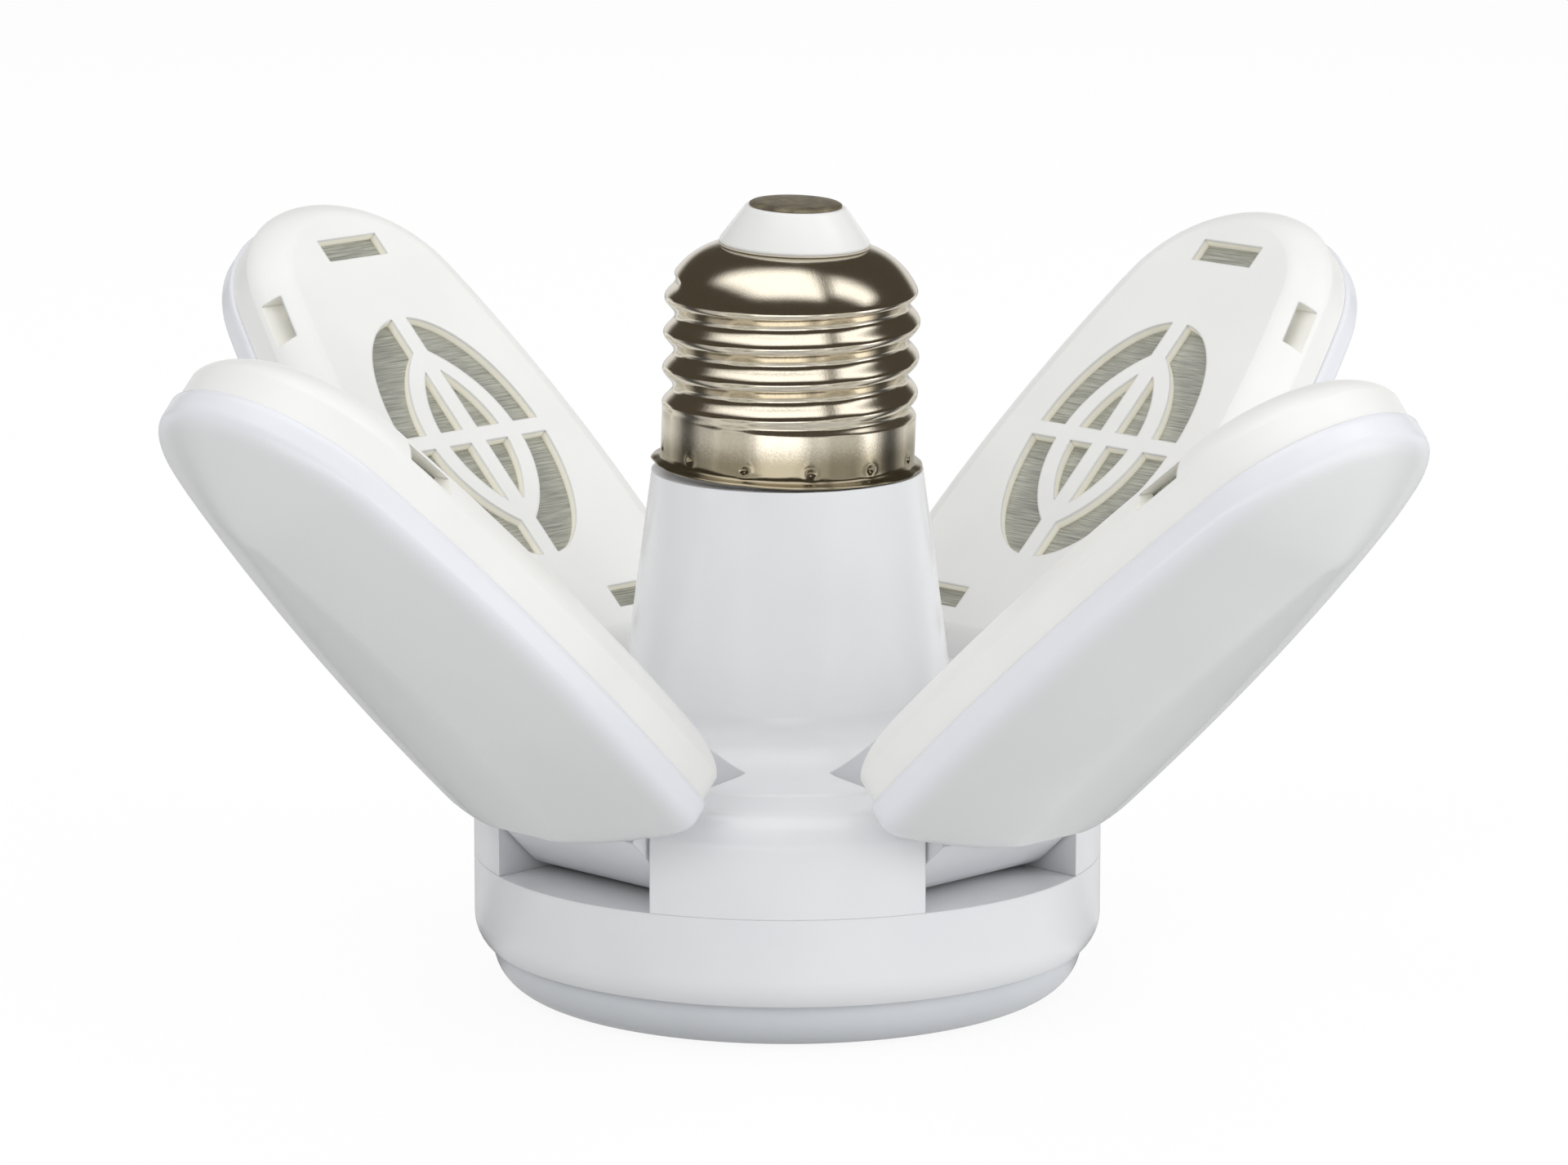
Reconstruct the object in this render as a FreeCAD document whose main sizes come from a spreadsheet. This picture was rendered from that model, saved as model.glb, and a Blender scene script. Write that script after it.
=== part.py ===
import FreeCAD, Part
import Sketcher
import math
import os

# A screw-in lamp with a round base light and four light blades that fold up and down on hinges.
# The origin is on the lamp's axis, in the face of the base light that it stands on. +Z points to the
# screw cap and one of the four hinge posts faces -Y. All sizes are in millimetres and degrees.

SIZES = {
    # Base light and the ring that carries it
    "disc_depth": 5.0, "disc_round": 4.5, "disc_wall": 1.6, "disc_insert": 3.8,
    "ring_height": 9.2, "ring_wall": 1.9, "ring_side": 6.5, "ring_foot_inset": 1.1, "ring_plate": 2.0,
    "ring_ledge": 2.0, "wire_hole_radius": 8.0, "fit_gap": 0.2,
    # Stem housing: each radius grows outwards from the stem's, each height from the one below
    "stem_radius": 15.4, "waist_swell": 1.5, "flare_run": 4.6, "crease_run": 4.5, "shoulder_run": 3.7,
    "post_inset": 2.7, "post_face": 7.2, "post_rise": 3.3, "post_round": 3.4, "crease_rise": 0.6,
    "crease_drop": 0.25, "flare_rise": 0.8, "flare_bend": 5.2, "waist_rise": 5.3, "stem_rise": 11.7,
    "top_rise": 10.85, "lip_ledge": 0.05, "neck_play": 0.55, "neck_wall": 1.2, "neck_length": 5.8,
    "stem_wall": 2.8,
    # Hinge slots, pins and screws
    "slot_half_width": 11.0, "slot_clear": 0.8, "slot_rise": 10.5, "hinge_inset": 9.4,
    "hinge_height": 5.5, "pin_radius": 1.5, "pin_embed": 3.0, "pin_press_gap": 0.02, "pin_running_gap": 0.05,
    "barrel_radius": 5.2, "barrel_end_gap": 0.4,
    "screw_inset": 10.9, "screw_radius": 1.4, "screw_gap": 0.05, "screw_reach": 6.5,
    "screw_head_radius": 2.6, "screw_head_height": 1.0,
    # Screw cap, heights above its seat on the stem
    "skirt_inset": 2.4, "lip_flange": 0.9, "cap_lip_height": 0.5, "cap_sheet": 0.35,
    "skirt_rise": 1.4, "skirt_top": 5.9, "crest_swell": 0.12, "thread_depth": 1.12, "thread_pitch": 3.7,
    "thread_turns": 4, "dome_rise": 3.85, "dome_bend": 7.3, "cone_base_radius": 7.7, "cone_ledge": 0.4,
    "cone_top_radius": 5.1, "cone_height": 4.0, "cone_plug": 2.4, "contact_inset": 0.4,
    "contact_height": 0.5, "contact_stem_radius": 1.2, "contact_stem_length": 3.0,
    "cap_tilt_right": 1.8, "cap_tilt_front": 1.3,
    # Light boards and the driver
    "board_thickness": 1.0, "led_length": 3.5, "led_width": 2.8, "led_height": 0.8,
    "disc_led_margin": 5.5, "disc_led_spacing": 12.0, "led_root_margin": 8.4, "led_tip_margin": 11.2,
    "led_row_inset": 13.65, "driver_height": 36.0, "driver_base": 1.0,
    "driver_thickness": 1.6, "part_inset": 6.4, "part_gap": 0.5, "capacitor_inset": 1.45,
    "capacitor_height": 12.0, "inductor_radius": 3.5, "inductor_height": 7.0, "rectifier_width": 6.5,
    "rectifier_height": 2.5, "chip_width": 5.0, "chip_height": 1.6, "chip_rise": 5.0, "fuse_radius": 1.5,
    "fuse_length": 8.0, "lead_radius": 0.4,
    # Blade outline, measured from the hinge axis along the blade
    "blade_root": 8.6, "blade_tip": 74.6, "blade_half_width": 19.6, "blade_widest": 13.4,
    "blade_side_radius": 170.0, "blade_corner": 3.0,
    # Blade shell
    "shell_inset": 0.4, "shell_wall": 1.8, "shell_top_wall": 1.1, "shell_side": 3.1, "shell_height": 6.3,
    "shell_slope": 3.9, "neck_gap": 0.4, "knuckle_top": 4.4, "plate_gap": 0.3,
    # Blade diffuser: an upright rim and a crown that rounds over to a narrow flat
    "rim_depth": 2.9, "rim_narrowing": 0.1, "crown_depth": 8.7, "crown_power": 1.5, "crown_flat": 1.1,
    "diffuser_wall": 1.5, "crown_root_share": 0.24,
    # Grille and slots of the shell
    "grille_margin": 35.2, "grille_half_length": 16.4, "grille_half_width": 9.8, "grille_bar": 1.9,
    "grille_rib": 2.1, "eye_half_length": 12.5, "eye_half_width": 6.3, "pupil_half_length": 10.1,
    "pupil_half_width": 4.2, "tip_slot_margin": 10.2, "tip_slot_length": 2.9, "tip_slot_half_width": 4.15,
    "root_slot_margin": 6.3, "root_slot_length": 2.8, "root_slot_inner": 4.5, "root_slot_outer": 10.0,
    "side_slot_margin": 18.4, "side_slot_length": 5.4, "side_slot_low": 3.7, "side_slot_high": 5.3,
    "side_slot_depth": 2.4,
    # How far each blade is raised above level
    "tilt_front_left": 44.0, "tilt_front_right": 41.9, "tilt_back_left": 43.4, "tilt_back_right": 42.4,
}

BLADES = {"front_left": 225, "front_right": 315, "back_left": 135, "back_right": 45}
BLADE_LED_COUNT = 8
OUTER_LED_COUNT = 12
INNER_LED_COUNT = 8
POST_COUNT = 4
SAME_POINT = 1e-6
# How far across the crown its sections lie, and how the shell's shoulder rounds over
CROWN_SHARES = (0.0, 0.12, 0.3, 0.5, 0.72, 1.0)
SHOULDER_SHARES = ((0, 0), (0.13, 0.3), (0.37, 0.6), (0.66, 0.85), (1, 1))

doc = FreeCAD.newDocument("FoldingLamp")
sheet = doc.addObject("Spreadsheet::Sheet", "Sizes")
for row, (alias, value) in enumerate(SIZES.items(), start=1):
    sheet.set("A%d" % row, alias)
    sheet.set("B%d" % row, repr(value))
    sheet.setAlias("B%d" % row, alias)
doc.recompute()

pieces = {}


def size(expression):
    """The value of an expression of the sheet's sizes."""
    result = sheet.evalExpression(expression)
    return float(getattr(result, "Value", result))


def bound(text):
    """The same expression, as another object of the document has to write it."""
    words = []
    word = ""
    for letter in text + " ":
        if letter.isalnum() or letter == "_":
            word += letter
            continue
        words.append("Sizes." + word if word in SIZES else word)
        words.append(letter)
        word = ""
    return "".join(words).strip()


def bind(thing, **expressions):
    for name, text in expressions.items():
        thing.setExpression(name, bound(text))
    return thing


def helper(kind, name, **expressions):
    return bind(doc.addObject(kind, name), **expressions)


def keep(node, thing):
    """Names a finished sub-part."""
    thing.Label = node
    pieces[node] = thing
    return thing


def place(thing, base=("0", "0", "0"), turn=None, axis=(0, 0, 1)):
    """Places an object at three expressions, turned about an axis by an angle."""
    thing.Placement = FreeCAD.Placement(FreeCAD.Vector(), FreeCAD.Rotation(FreeCAD.Vector(*axis), turn or 0))
    for letter, text in zip("xyz", base):
        thing.setExpression("Placement.Base." + letter, bound(text))
    return thing


def turned(name, profile):
    """A body of revolution about Z. A profile point is (radius, height) and may end with the signed
    radius of the arc that leads to it: positive bulges to the right of the way along the profile."""
    body = doc.addObject("PartDesign::Body", name)
    plane = [f for f in body.Origin.OriginFeatures if f.Role == "XZ_Plane"][0]
    sketch = body.newObject("Sketcher::SketchObject", name + "_profile")
    sketch.AttachmentSupport = [(plane, "")]
    sketch.MapMode = "FlatFace"
    corners = [FreeCAD.Vector(size(point[0]), size(point[1]), 0) for point in profile]
    count = len(profile)
    for index in range(count):
        start = corners[index]
        end = corners[(index + 1) % count]
        goal = profile[(index + 1) % count]
        if len(goal) == 2:
            sketch.addGeometry(Part.LineSegment(start, end), False)
            continue
        bend = size(goal[2])
        chord = end - start
        middle = (start + end) * 0.5
        side = FreeCAD.Vector(chord.y, -chord.x, 0).normalize()
        half = chord.Length / 2
        sagitta = abs(bend) - math.sqrt(bend * bend - half * half)
        crown = middle + side * math.copysign(sagitta, bend)
        sketch.addGeometry(Part.Arc(start, crown, end), False)
    ends = []
    for index in range(count):
        near = sketch.getPoint(index, 1).distanceToPoint(corners[index]) < SAME_POINT
        ends.append((1, 2) if near else (2, 1))
    for index in range(count):
        after = (index + 1) % count
        sketch.addConstraint(Sketcher.Constraint("Coincident", index, ends[index][1], after, ends[after][0]))
    for index, point in enumerate(profile):
        spot = corners[index]
        for kind, text, value in (("DistanceX", point[0], spot.x), ("DistanceY", point[1], spot.y)):
            number = sketch.addConstraint(Sketcher.Constraint(kind, -1, 1, index, ends[index][0], value))
            label = "%s_%d" % ("radius" if kind == "DistanceX" else "height", index)
            sketch.renameConstraint(number, label)
            sketch.setExpression("Constraints." + label, bound(text))
        if len(point) == 3:
            before = (index - 1) % count
            number = sketch.addConstraint(Sketcher.Constraint("Radius", before, abs(size(point[2]))))
            sketch.renameConstraint(number, "bend_%d" % index)
            sketch.setExpression("Constraints.bend_%d" % index, bound("abs(%s)" % point[2]))
    turn = body.newObject("PartDesign::Revolution", name + "_turn")
    turn.Profile = sketch
    turn.ReferenceAxis = (sketch, ["V_Axis"])
    turn.Angle = 360
    return body


def rod(name, radius, height, base=("0", "0", "0"), turn=None, axis=(0, 0, 1)):
    return place(helper("Part::Cylinder", name, Radius=radius, Height=height), base, turn, axis)


def block(name, length, width, height, base=("0", "0", "0"), turn=None, axis=(0, 0, 1)):
    return place(helper("Part::Box", name, Length=length, Width=width, Height=height), base, turn, axis)


def cut(name, base, tools):
    tool = doc.addObject("Part::MultiFuse", name + "_tools")
    tool.Shapes = tools
    result = doc.addObject("Part::Cut", name)
    result.Base = base
    result.Tool = tool
    return result


def around(radius, angle):
    """Expressions for a point at a radius and an angle about the lamp's axis."""
    return "(%s) * cos(%s deg)" % (radius, angle), "(%s) * sin(%s deg)" % (radius, angle)


def led(centre_x, centre_y, low, angle):
    """One light-emitting package, lying under a board."""
    length = size("led_length")
    width = size("led_width")
    chip = Part.makeBox(length, width, size("led_height"), FreeCAD.Vector(-length / 2, -width / 2, 0))
    chip.Placement = FreeCAD.Placement(FreeCAD.Vector(centre_x, centre_y, low),
                                       FreeCAD.Rotation(FreeCAD.Vector(0, 0, 1), angle))
    return chip


RING_TOP = "(disc_depth + ring_height)"
RING_FLOOR = "(disc_depth + ring_height - ring_plate)"
WAIST = "(stem_radius + waist_swell)"
FLARE = "(stem_radius + waist_swell + flare_run)"
CREASE = "(stem_radius + waist_swell + flare_run + crease_run)"
SHOULDER = "(stem_radius + waist_swell + flare_run + crease_run + shoulder_run)"
RING = "(stem_radius + waist_swell + flare_run + crease_run + shoulder_run + post_inset)"
DISC = "(%s - ring_wall)" % RING
SHOULDER_HEIGHT = "(post_face + post_rise)"
CREASE_HEIGHT = "(post_face + post_rise + crease_rise)"
FLARE_HEIGHT = "(post_face + post_rise + crease_rise + flare_rise)"
WAIST_HEIGHT = "(post_face + post_rise + crease_rise + flare_rise + waist_rise)"
STEM_HEIGHT = "(post_face + post_rise + crease_rise + flare_rise + waist_rise + stem_rise)"
STEM_TOP = "(post_face + post_rise + crease_rise + flare_rise + waist_rise + stem_rise + top_rise)"
SKIRT = "(stem_radius - skirt_inset)"
LIP = "(stem_radius - skirt_inset + lip_flange)"
CREST = "(stem_radius - skirt_inset + crest_swell)"
NECK = "(stem_radius - skirt_inset - cap_sheet - neck_play)"
STEM_BORE = "(stem_radius - skirt_inset - cap_sheet - neck_play - neck_wall)"
HINGE = "(%s - hinge_inset)" % RING
SCREW_CIRCLE = "(%s - screw_inset)" % RING
THREAD_END = "(skirt_top + thread_pitch * (thread_turns - 1 / 2))"
DOME_TOP = "(%s + dome_rise)" % THREAD_END
DOME_HOLE = "(cone_base_radius - cone_ledge)"
# The leaning cap touches the stem's top with the low side of its lip.
CAP_SEAT = "(disc_depth + ring_height + %s + %s * " \
    "sin(sqrt(cap_tilt_right ^ 2 + cap_tilt_front ^ 2) * 1 deg) + fit_gap / 4)" % (STEM_TOP, LIP)


def base_light():
    """The round diffuser, the ring around it and the light board between them."""
    keep("centre_diffuser", turned("centre_diffuser", [
        ("0", "0"), (DISC + " - disc_round", "0"), (DISC, "disc_round", "disc_round"),
        (DISC, "disc_depth + disc_insert"),
        (DISC + " - disc_wall", "disc_depth + disc_insert"), (DISC + " - disc_wall", "disc_round"),
        (DISC + " - disc_round", "disc_wall", "disc_wall - disc_round"), ("0", "disc_wall")]))
    bore = DISC + " + fit_gap"
    ring = turned("ring_casting", [
        ("wire_hole_radius", RING_FLOOR), ("%s - ring_ledge" % bore, RING_FLOOR),
        ("%s - ring_ledge" % bore, "disc_depth + disc_insert + fit_gap"),
        (bore, "disc_depth + disc_insert + fit_gap"), (bore, "disc_depth"),
        (RING + " - ring_foot_inset", "disc_depth"),
        (RING, RING_TOP + " - ring_side", "ring_height - ring_side + ring_foot_inset"),
        (RING, RING_TOP), ("wire_hole_radius", RING_TOP)])
    board = rod("disc_board_blank", "%s - ring_ledge - fit_gap" % bore, "board_thickness",
                ("0", "0", RING_FLOOR + " - board_thickness"))
    board_hole = rod("disc_board_hole", "wire_hole_radius", "board_thickness",
                     ("0", "0", RING_FLOOR + " - board_thickness"))
    screw_holes = []
    for number in range(POST_COUNT):
        x, y = around(SCREW_CIRCLE, number * 360 / POST_COUNT)
        for part in ("ring", "board"):
            screw_holes.append(rod("%s_screw_hole_%d" % (part, number), "screw_radius + screw_gap",
                                   "ring_plate + board_thickness",
                                   (x, y, RING_FLOOR + " - board_thickness")))
    keep("base_ring", cut("base_ring", ring, screw_holes[0::2]))
    keep("centre_led_board", cut("centre_led_board", board, screw_holes[1::2] + [board_hole]))
    low = size(RING_FLOOR + " - board_thickness - led_height")
    chips = []
    outer = size(DISC + " - disc_led_margin")
    for count, radius in ((OUTER_LED_COUNT, outer), (INNER_LED_COUNT, outer - size("disc_led_spacing"))):
        for number in range(count):
            angle = (number + 0.5) * 360 / count
            x = radius * math.cos(math.radians(angle))
            y = radius * math.sin(math.radians(angle))
            chips.append(led(x, y, low, angle + 90))
    feature = doc.addObject("Part::Feature", "centre_leds")
    feature.Shape = Part.makeCompound(chips)
    keep("centre_leds", feature)


def stem_and_posts():
    """The moulded stem with its four posts, the slots between them and the sockets of the hinge pins."""
    def above(text):
        return "disc_depth + ring_height + " + text
    low_bore = "stem_radius - stem_wall"
    blank = turned("stem_blank", [
        (low_bore, above("0")), (RING, above("0")), (RING, above("post_face")),
        (SHOULDER, above(SHOULDER_HEIGHT), "post_round"),
        (CREASE, above(CREASE_HEIGHT)), (CREASE + " - crease_drop", above(CREASE_HEIGHT + " + crease_drop")),
        (FLARE, above(FLARE_HEIGHT)), (WAIST, above(WAIST_HEIGHT), "-flare_bend"),
        ("stem_radius", above(STEM_HEIGHT)), (LIP + " + lip_ledge", above(STEM_TOP)),
        (NECK, above(STEM_TOP)), (NECK, above(STEM_TOP + " + neck_length")),
        (STEM_BORE, above(STEM_TOP + " + neck_length")), (STEM_BORE, above(STEM_HEIGHT)),
        (low_bore, above(WAIST_HEIGHT))])
    tools = []
    for name, angle in BLADES.items():
        inner_x, inner_y = around(HINGE + " - barrel_radius - slot_clear", angle)
        side_x, side_y = around("slot_half_width", angle - 90)
        tools.append(block(name + "_slot", RING, "2 * slot_half_width", "hinge_height + slot_rise",
                           ("%s + %s" % (inner_x, side_x), "%s + %s" % (inner_y, side_y), RING_TOP), angle))
        start = "(slot_half_width + pin_embed)"
        pin_x, pin_y = around(HINGE, angle)
        back_x, back_y = around(start, angle - 90)
        spot = ("%s + %s" % (pin_x, back_x), "%s + %s" % (pin_y, back_y), RING_TOP + " + hinge_height")
        along = (-math.sin(math.radians(angle)), math.cos(math.radians(angle)), 0)
        aim = FreeCAD.Rotation(FreeCAD.Vector(0, 0, 1), FreeCAD.Vector(*along))
        for part, gap in (("socket", "pin_press_gap"), ("pin", "0")):
            pin = rod("%s_%s" % (name, part), "pin_radius + " + gap, "2 * " + start, spot,
                      math.degrees(aim.Angle), tuple(aim.Axis))
            if part == "socket":
                tools.append(pin)
            else:
                keep(name + "_hinge_pin", pin)
    for number in range(POST_COUNT):
        x, y = around(SCREW_CIRCLE, number * 360 / POST_COUNT)
        tools.append(rod("post_screw_hole_%d" % number, "screw_radius + screw_gap", "screw_reach + screw_gap",
                         (x, y, RING_TOP)))
    keep("stem_housing", cut("stem_housing", blank, tools))


def hub_screws():
    """Four screws that hold the light board and the ring under the posts."""
    screws = []
    for number in range(POST_COUNT):
        x, y = around(SCREW_CIRCLE, number * 360 / POST_COUNT)
        low = RING_FLOOR + " - board_thickness"
        shank = rod("screw_shank_%d" % number, "screw_radius", "board_thickness + ring_plate + screw_reach",
                    (x, y, low))
        head = rod("screw_head_%d" % number, "screw_head_radius", "screw_head_height",
                   (x, y, low + " - screw_head_height"))
        screw = doc.addObject("Part::Fuse", "screw_%d" % number)
        screw.Base = shank
        screw.Tool = head
        screws.append(screw)
    group = doc.addObject("Part::Compound", "hub_screws")
    group.Links = screws
    keep("hub_screws", group)


def lean(thing):
    """Sets a piece of the cap on its seat, slightly askew as the cap was crimped on."""
    tilt = FreeCAD.Rotation(FreeCAD.Vector(0, 1, 0), size("cap_tilt_right"))
    tip = FreeCAD.Rotation(FreeCAD.Vector(1, 0, 0), size("cap_tilt_front"))
    thing.Placement = FreeCAD.Placement(FreeCAD.Vector(0, 0, size(CAP_SEAT)), tip * tilt)
    return thing


def thread_profile(shift):
    """Rolled thread seen in section: an arc for each crest and each valley. A shift moves it inwards."""
    middle = "%s - thread_depth / 2 - %s" % (CREST, shift)
    swell = "(thread_depth / 4 + (thread_pitch / 4) ^ 2 / thread_depth)"
    points = []
    for half_turn in range(1, 2 * int(size("thread_turns"))):
        height = "skirt_top + thread_pitch * %s" % (half_turn / 2.0)
        points.append((middle, height, swell if half_turn % 2 else "-" + swell))
    return middle, points


def screw_cap():
    """The screw shell, its insulating cone and the end contact, with their seat at height zero."""
    middle, outer = thread_profile("0")
    inner_middle, inner = thread_profile("cap_sheet")
    inner_points = [(inner_middle, "skirt_top")]
    for point in inner:
        inner_points.append(point)
    back = []
    for index in range(len(inner_points) - 1, 0, -1):
        bend = inner_points[index][2]
        flipped = bend[1:] if bend.startswith("-") else "-" + bend
        back.append((inner_points[index - 1][0], inner_points[index - 1][1], flipped))
    shell = turned("screw_shell", [
        (SKIRT + " - cap_sheet", "0"), (LIP, "0"), (LIP, "cap_lip_height"),
        (SKIRT, "skirt_rise"), (SKIRT, "skirt_top - cap_lip_height"),
        (middle, "skirt_top")] + outer + [
        (DOME_HOLE, DOME_TOP, "dome_bend + cap_sheet"), (DOME_HOLE, DOME_TOP + " - cap_sheet"),
        (inner_points[-1][0], inner_points[-1][1], "-dome_bend")] + back + [
        (SKIRT + " - cap_sheet", "skirt_top - cap_lip_height")])
    keep("screw_shell", lean(shell))
    cone = turned("cap_insulator", [
        ("contact_stem_radius + screw_gap", DOME_TOP + " - cone_plug"),
        (DOME_HOLE + " - screw_gap", DOME_TOP + " - cone_plug"), (DOME_HOLE + " - screw_gap", DOME_TOP),
        ("cone_base_radius", DOME_TOP), ("cone_top_radius", DOME_TOP + " + cone_height"),
        ("contact_stem_radius + screw_gap", DOME_TOP + " + cone_height")])
    keep("cap_insulator", lean(cone))
    tip = DOME_TOP + " + cone_height"
    radius = "cone_top_radius - contact_inset"
    contact = turned("centre_contact", [
        ("0", tip + " - contact_stem_length"), ("contact_stem_radius", tip + " - contact_stem_length"),
        ("contact_stem_radius", tip), (radius, tip),
        (radius + " - contact_height", tip + " + contact_height"), ("0", tip + " + contact_height")])
    keep("centre_contact", lean(contact))
    foot = "%s + driver_base + driver_height + fit_gap - %s" % (RING_TOP, CAP_SEAT)
    lead = turned("contact_lead", [
        ("0", foot), ("lead_radius", foot), ("lead_radius", tip + " - contact_stem_length"),
        ("0", tip + " - contact_stem_length")])
    keep("contact_lead", lean(lead))


def driver():
    """The driver board that stands in the stem, and what is soldered to it."""
    foot = RING_TOP + " + driver_base"
    face = "driver_thickness / 2"
    aside = "(%s - part_inset)" % STEM_BORE
    can = "(%s / 2 - capacitor_inset)" % STEM_BORE
    above_fuse = foot + " + fuse_radius + fuse_length + part_gap + inductor_radius"
    keep("driver_board", block("driver_board", "2 * (%s - fit_gap)" % STEM_BORE, "driver_thickness",
                               "driver_height", ("fit_gap - " + STEM_BORE, "-" + face, foot)))
    keep("capacitor", rod("capacitor", can, "capacitor_height",
                          ("0", "%s + %s" % (face, can), foot + " + driver_height / 2")))
    keep("inductor", rod("inductor", "inductor_radius", "inductor_height",
                         (aside, "%s + inductor_height" % face, above_fuse),
                         90, (1, 0, 0)))
    keep("fuse_resistor", rod("fuse_resistor", "fuse_radius", "fuse_length",
                              ("-" + aside, face + " + fuse_radius", foot + " + fuse_radius"), 0))
    keep("rectifier", block("rectifier", "rectifier_width", "rectifier_height", "rectifier_width",
                            ("-rectifier_width / 2", "-%s - rectifier_height" % face,
                             foot + " + driver_height / 2")))
    keep("driver_chip", block("driver_chip", "chip_width", "chip_height", "chip_width",
                              ("-chip_width / 2", "-%s - chip_height" % face, foot + " + chip_rise")))


def tip_round(inset):
    """The radius of the tip that runs into the bowed sides without a corner."""
    bow = size("blade_side_radius")
    across = size("blade_half_width") - bow
    reach = size("blade_tip - blade_root - blade_widest")
    outer = (reach ** 2 + across ** 2 - bow ** 2) / (2 * (reach - bow))
    return outer - inset


def leaf(inset, root_inset, level):
    """A blade's outline at one level: a straight root, round corners, bowed sides and a round tip.
    Each arc runs into the next without a corner."""
    widest = size("blade_root + blade_widest")
    bow = size("blade_side_radius") - inset
    half = size("blade_half_width") - inset
    root = size("blade_root") + root_inset
    tip = size("blade_tip") - inset
    side_centre = FreeCAD.Vector(widest, half - bow, 0)
    tip_radius = tip_round(inset)
    tip_centre = FreeCAD.Vector(tip - tip_radius, 0, 0)
    corner = min(size("blade_corner"), half / 3)
    drop = math.sqrt((bow - corner) ** 2 - (widest - root - corner) ** 2)
    corner_centre = FreeCAD.Vector(root + corner, side_centre.y + drop, 0)

    def touch(centre, radius):
        """Where a round end meets the bowed side."""
        return centre + (centre - side_centre).normalize() * radius

    def flip(point):
        return FreeCAD.Vector(point.x, -point.y, 0)
    root_end = FreeCAD.Vector(root, corner_centre.y, 0)
    corner_end = touch(corner_centre, corner)
    tip_start = touch(tip_centre, tip_radius)
    middle_way = (root_end + corner_end) * 0.5 - corner_centre
    corner_crown = corner_centre + middle_way.normalize() * corner
    side_crown = (corner_end + tip_start) * 0.5 - side_centre
    side_crown = side_centre + side_crown.normalize() * bow
    tip_point = FreeCAD.Vector(tip, 0, 0)
    edges = [Part.LineSegment(flip(root_end), root_end).toShape(),
             Part.Arc(root_end, corner_crown, corner_end).toShape(),
             Part.Arc(corner_end, side_crown, tip_start).toShape(),
             Part.Arc(tip_start, tip_point, flip(tip_start)).toShape(),
             Part.Arc(flip(tip_start), flip(side_crown), flip(corner_end)).toShape(),
             Part.Arc(flip(corner_end), flip(corner_crown), flip(root_end)).toShape()]
    wire = Part.Wire(edges)
    wire.translate(FreeCAD.Vector(0, 0, level))
    return wire


def slab(inset, low, high):
    """A flat piece with the blade's outline drawn in by an inset."""
    face = Part.Face(leaf(inset, inset, low))
    return face.extrude(FreeCAD.Vector(0, 0, high - low))


def box(low, high):
    corner = FreeCAD.Vector(*low)
    extent = FreeCAD.Vector(*high) - corner
    return Part.makeBox(extent.x, extent.y, extent.z, corner)


def cylinder_across(radius, half_length):
    start = FreeCAD.Vector(0, -half_length, 0)
    return Part.makeCylinder(radius, 2 * half_length, start, FreeCAD.Vector(0, 1, 0))


def milky_form(wall):
    """The diffuser's outside, or with a wall its inside: an upright rim, then a crown that rounds over
    to a narrow flat along the middle."""
    power = size("crown_power")
    rim = size("rim_depth") - wall / 2
    depth = size("crown_depth") - wall
    rim_inset = wall + size("rim_narrowing")
    flat_inset = tip_round(0) - size("crown_flat")
    root_share = size("crown_root_share")
    edge = leaf(wall, wall, 0)
    below = leaf(rim_inset, rim_inset, -rim)
    wires = []
    for share in CROWN_SHARES:
        level = rim + (depth - rim) * (1 - (1 - share) ** power)
        step = share * (flat_inset - rim_inset)
        wires.append(leaf(rim_inset + step, rim_inset + step * root_share, -level))
    return Part.makeLoft([edge, below], True, True).fuse(Part.makeLoft(wires, True, False))


def lens_shape(half_length, half_width, low, high):
    """A pointed oval prism, where two round discs overlap."""
    radius = (half_length ** 2 + half_width ** 2) / (2 * half_width)
    centre = size("blade_tip - grille_margin")
    discs = []
    for side in (-1, 1):
        middle = FreeCAD.Vector(centre, side * (radius - half_width), low)
        discs.append(Part.makeCylinder(radius, high - low, middle))
    return discs[0].common(discs[1])


def grille_cut():
    """What is cut from the shell's face: an oval, in which an eye-shaped rib and a cross stay."""
    low = size("shell_height - shell_top_wall - shell_inset")
    high = size("shell_height + shell_inset")
    centre = size("blade_tip - grille_margin")
    length = size("grille_half_length")
    width = size("grille_half_width")
    oval = Part.Ellipse(FreeCAD.Vector(centre, 0, low), length, width).toShape()
    opening = Part.Face(Part.Wire([oval])).extrude(FreeCAD.Vector(0, 0, high - low))
    eye = lens_shape(size("eye_half_length"), size("eye_half_width"), low, high)
    pupil = lens_shape(size("pupil_half_length"), size("pupil_half_width"), low, high)
    bar = size("grille_bar") / 2
    rib = size("grille_rib") / 2
    cross = box((centre - bar, -width, low), (centre + bar, width, high))
    spine = box((centre - length, -rib, low), (centre + length, rib, high))
    return opening.cut(eye).fuse(pupil).cut(cross.fuse(spine))


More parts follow.
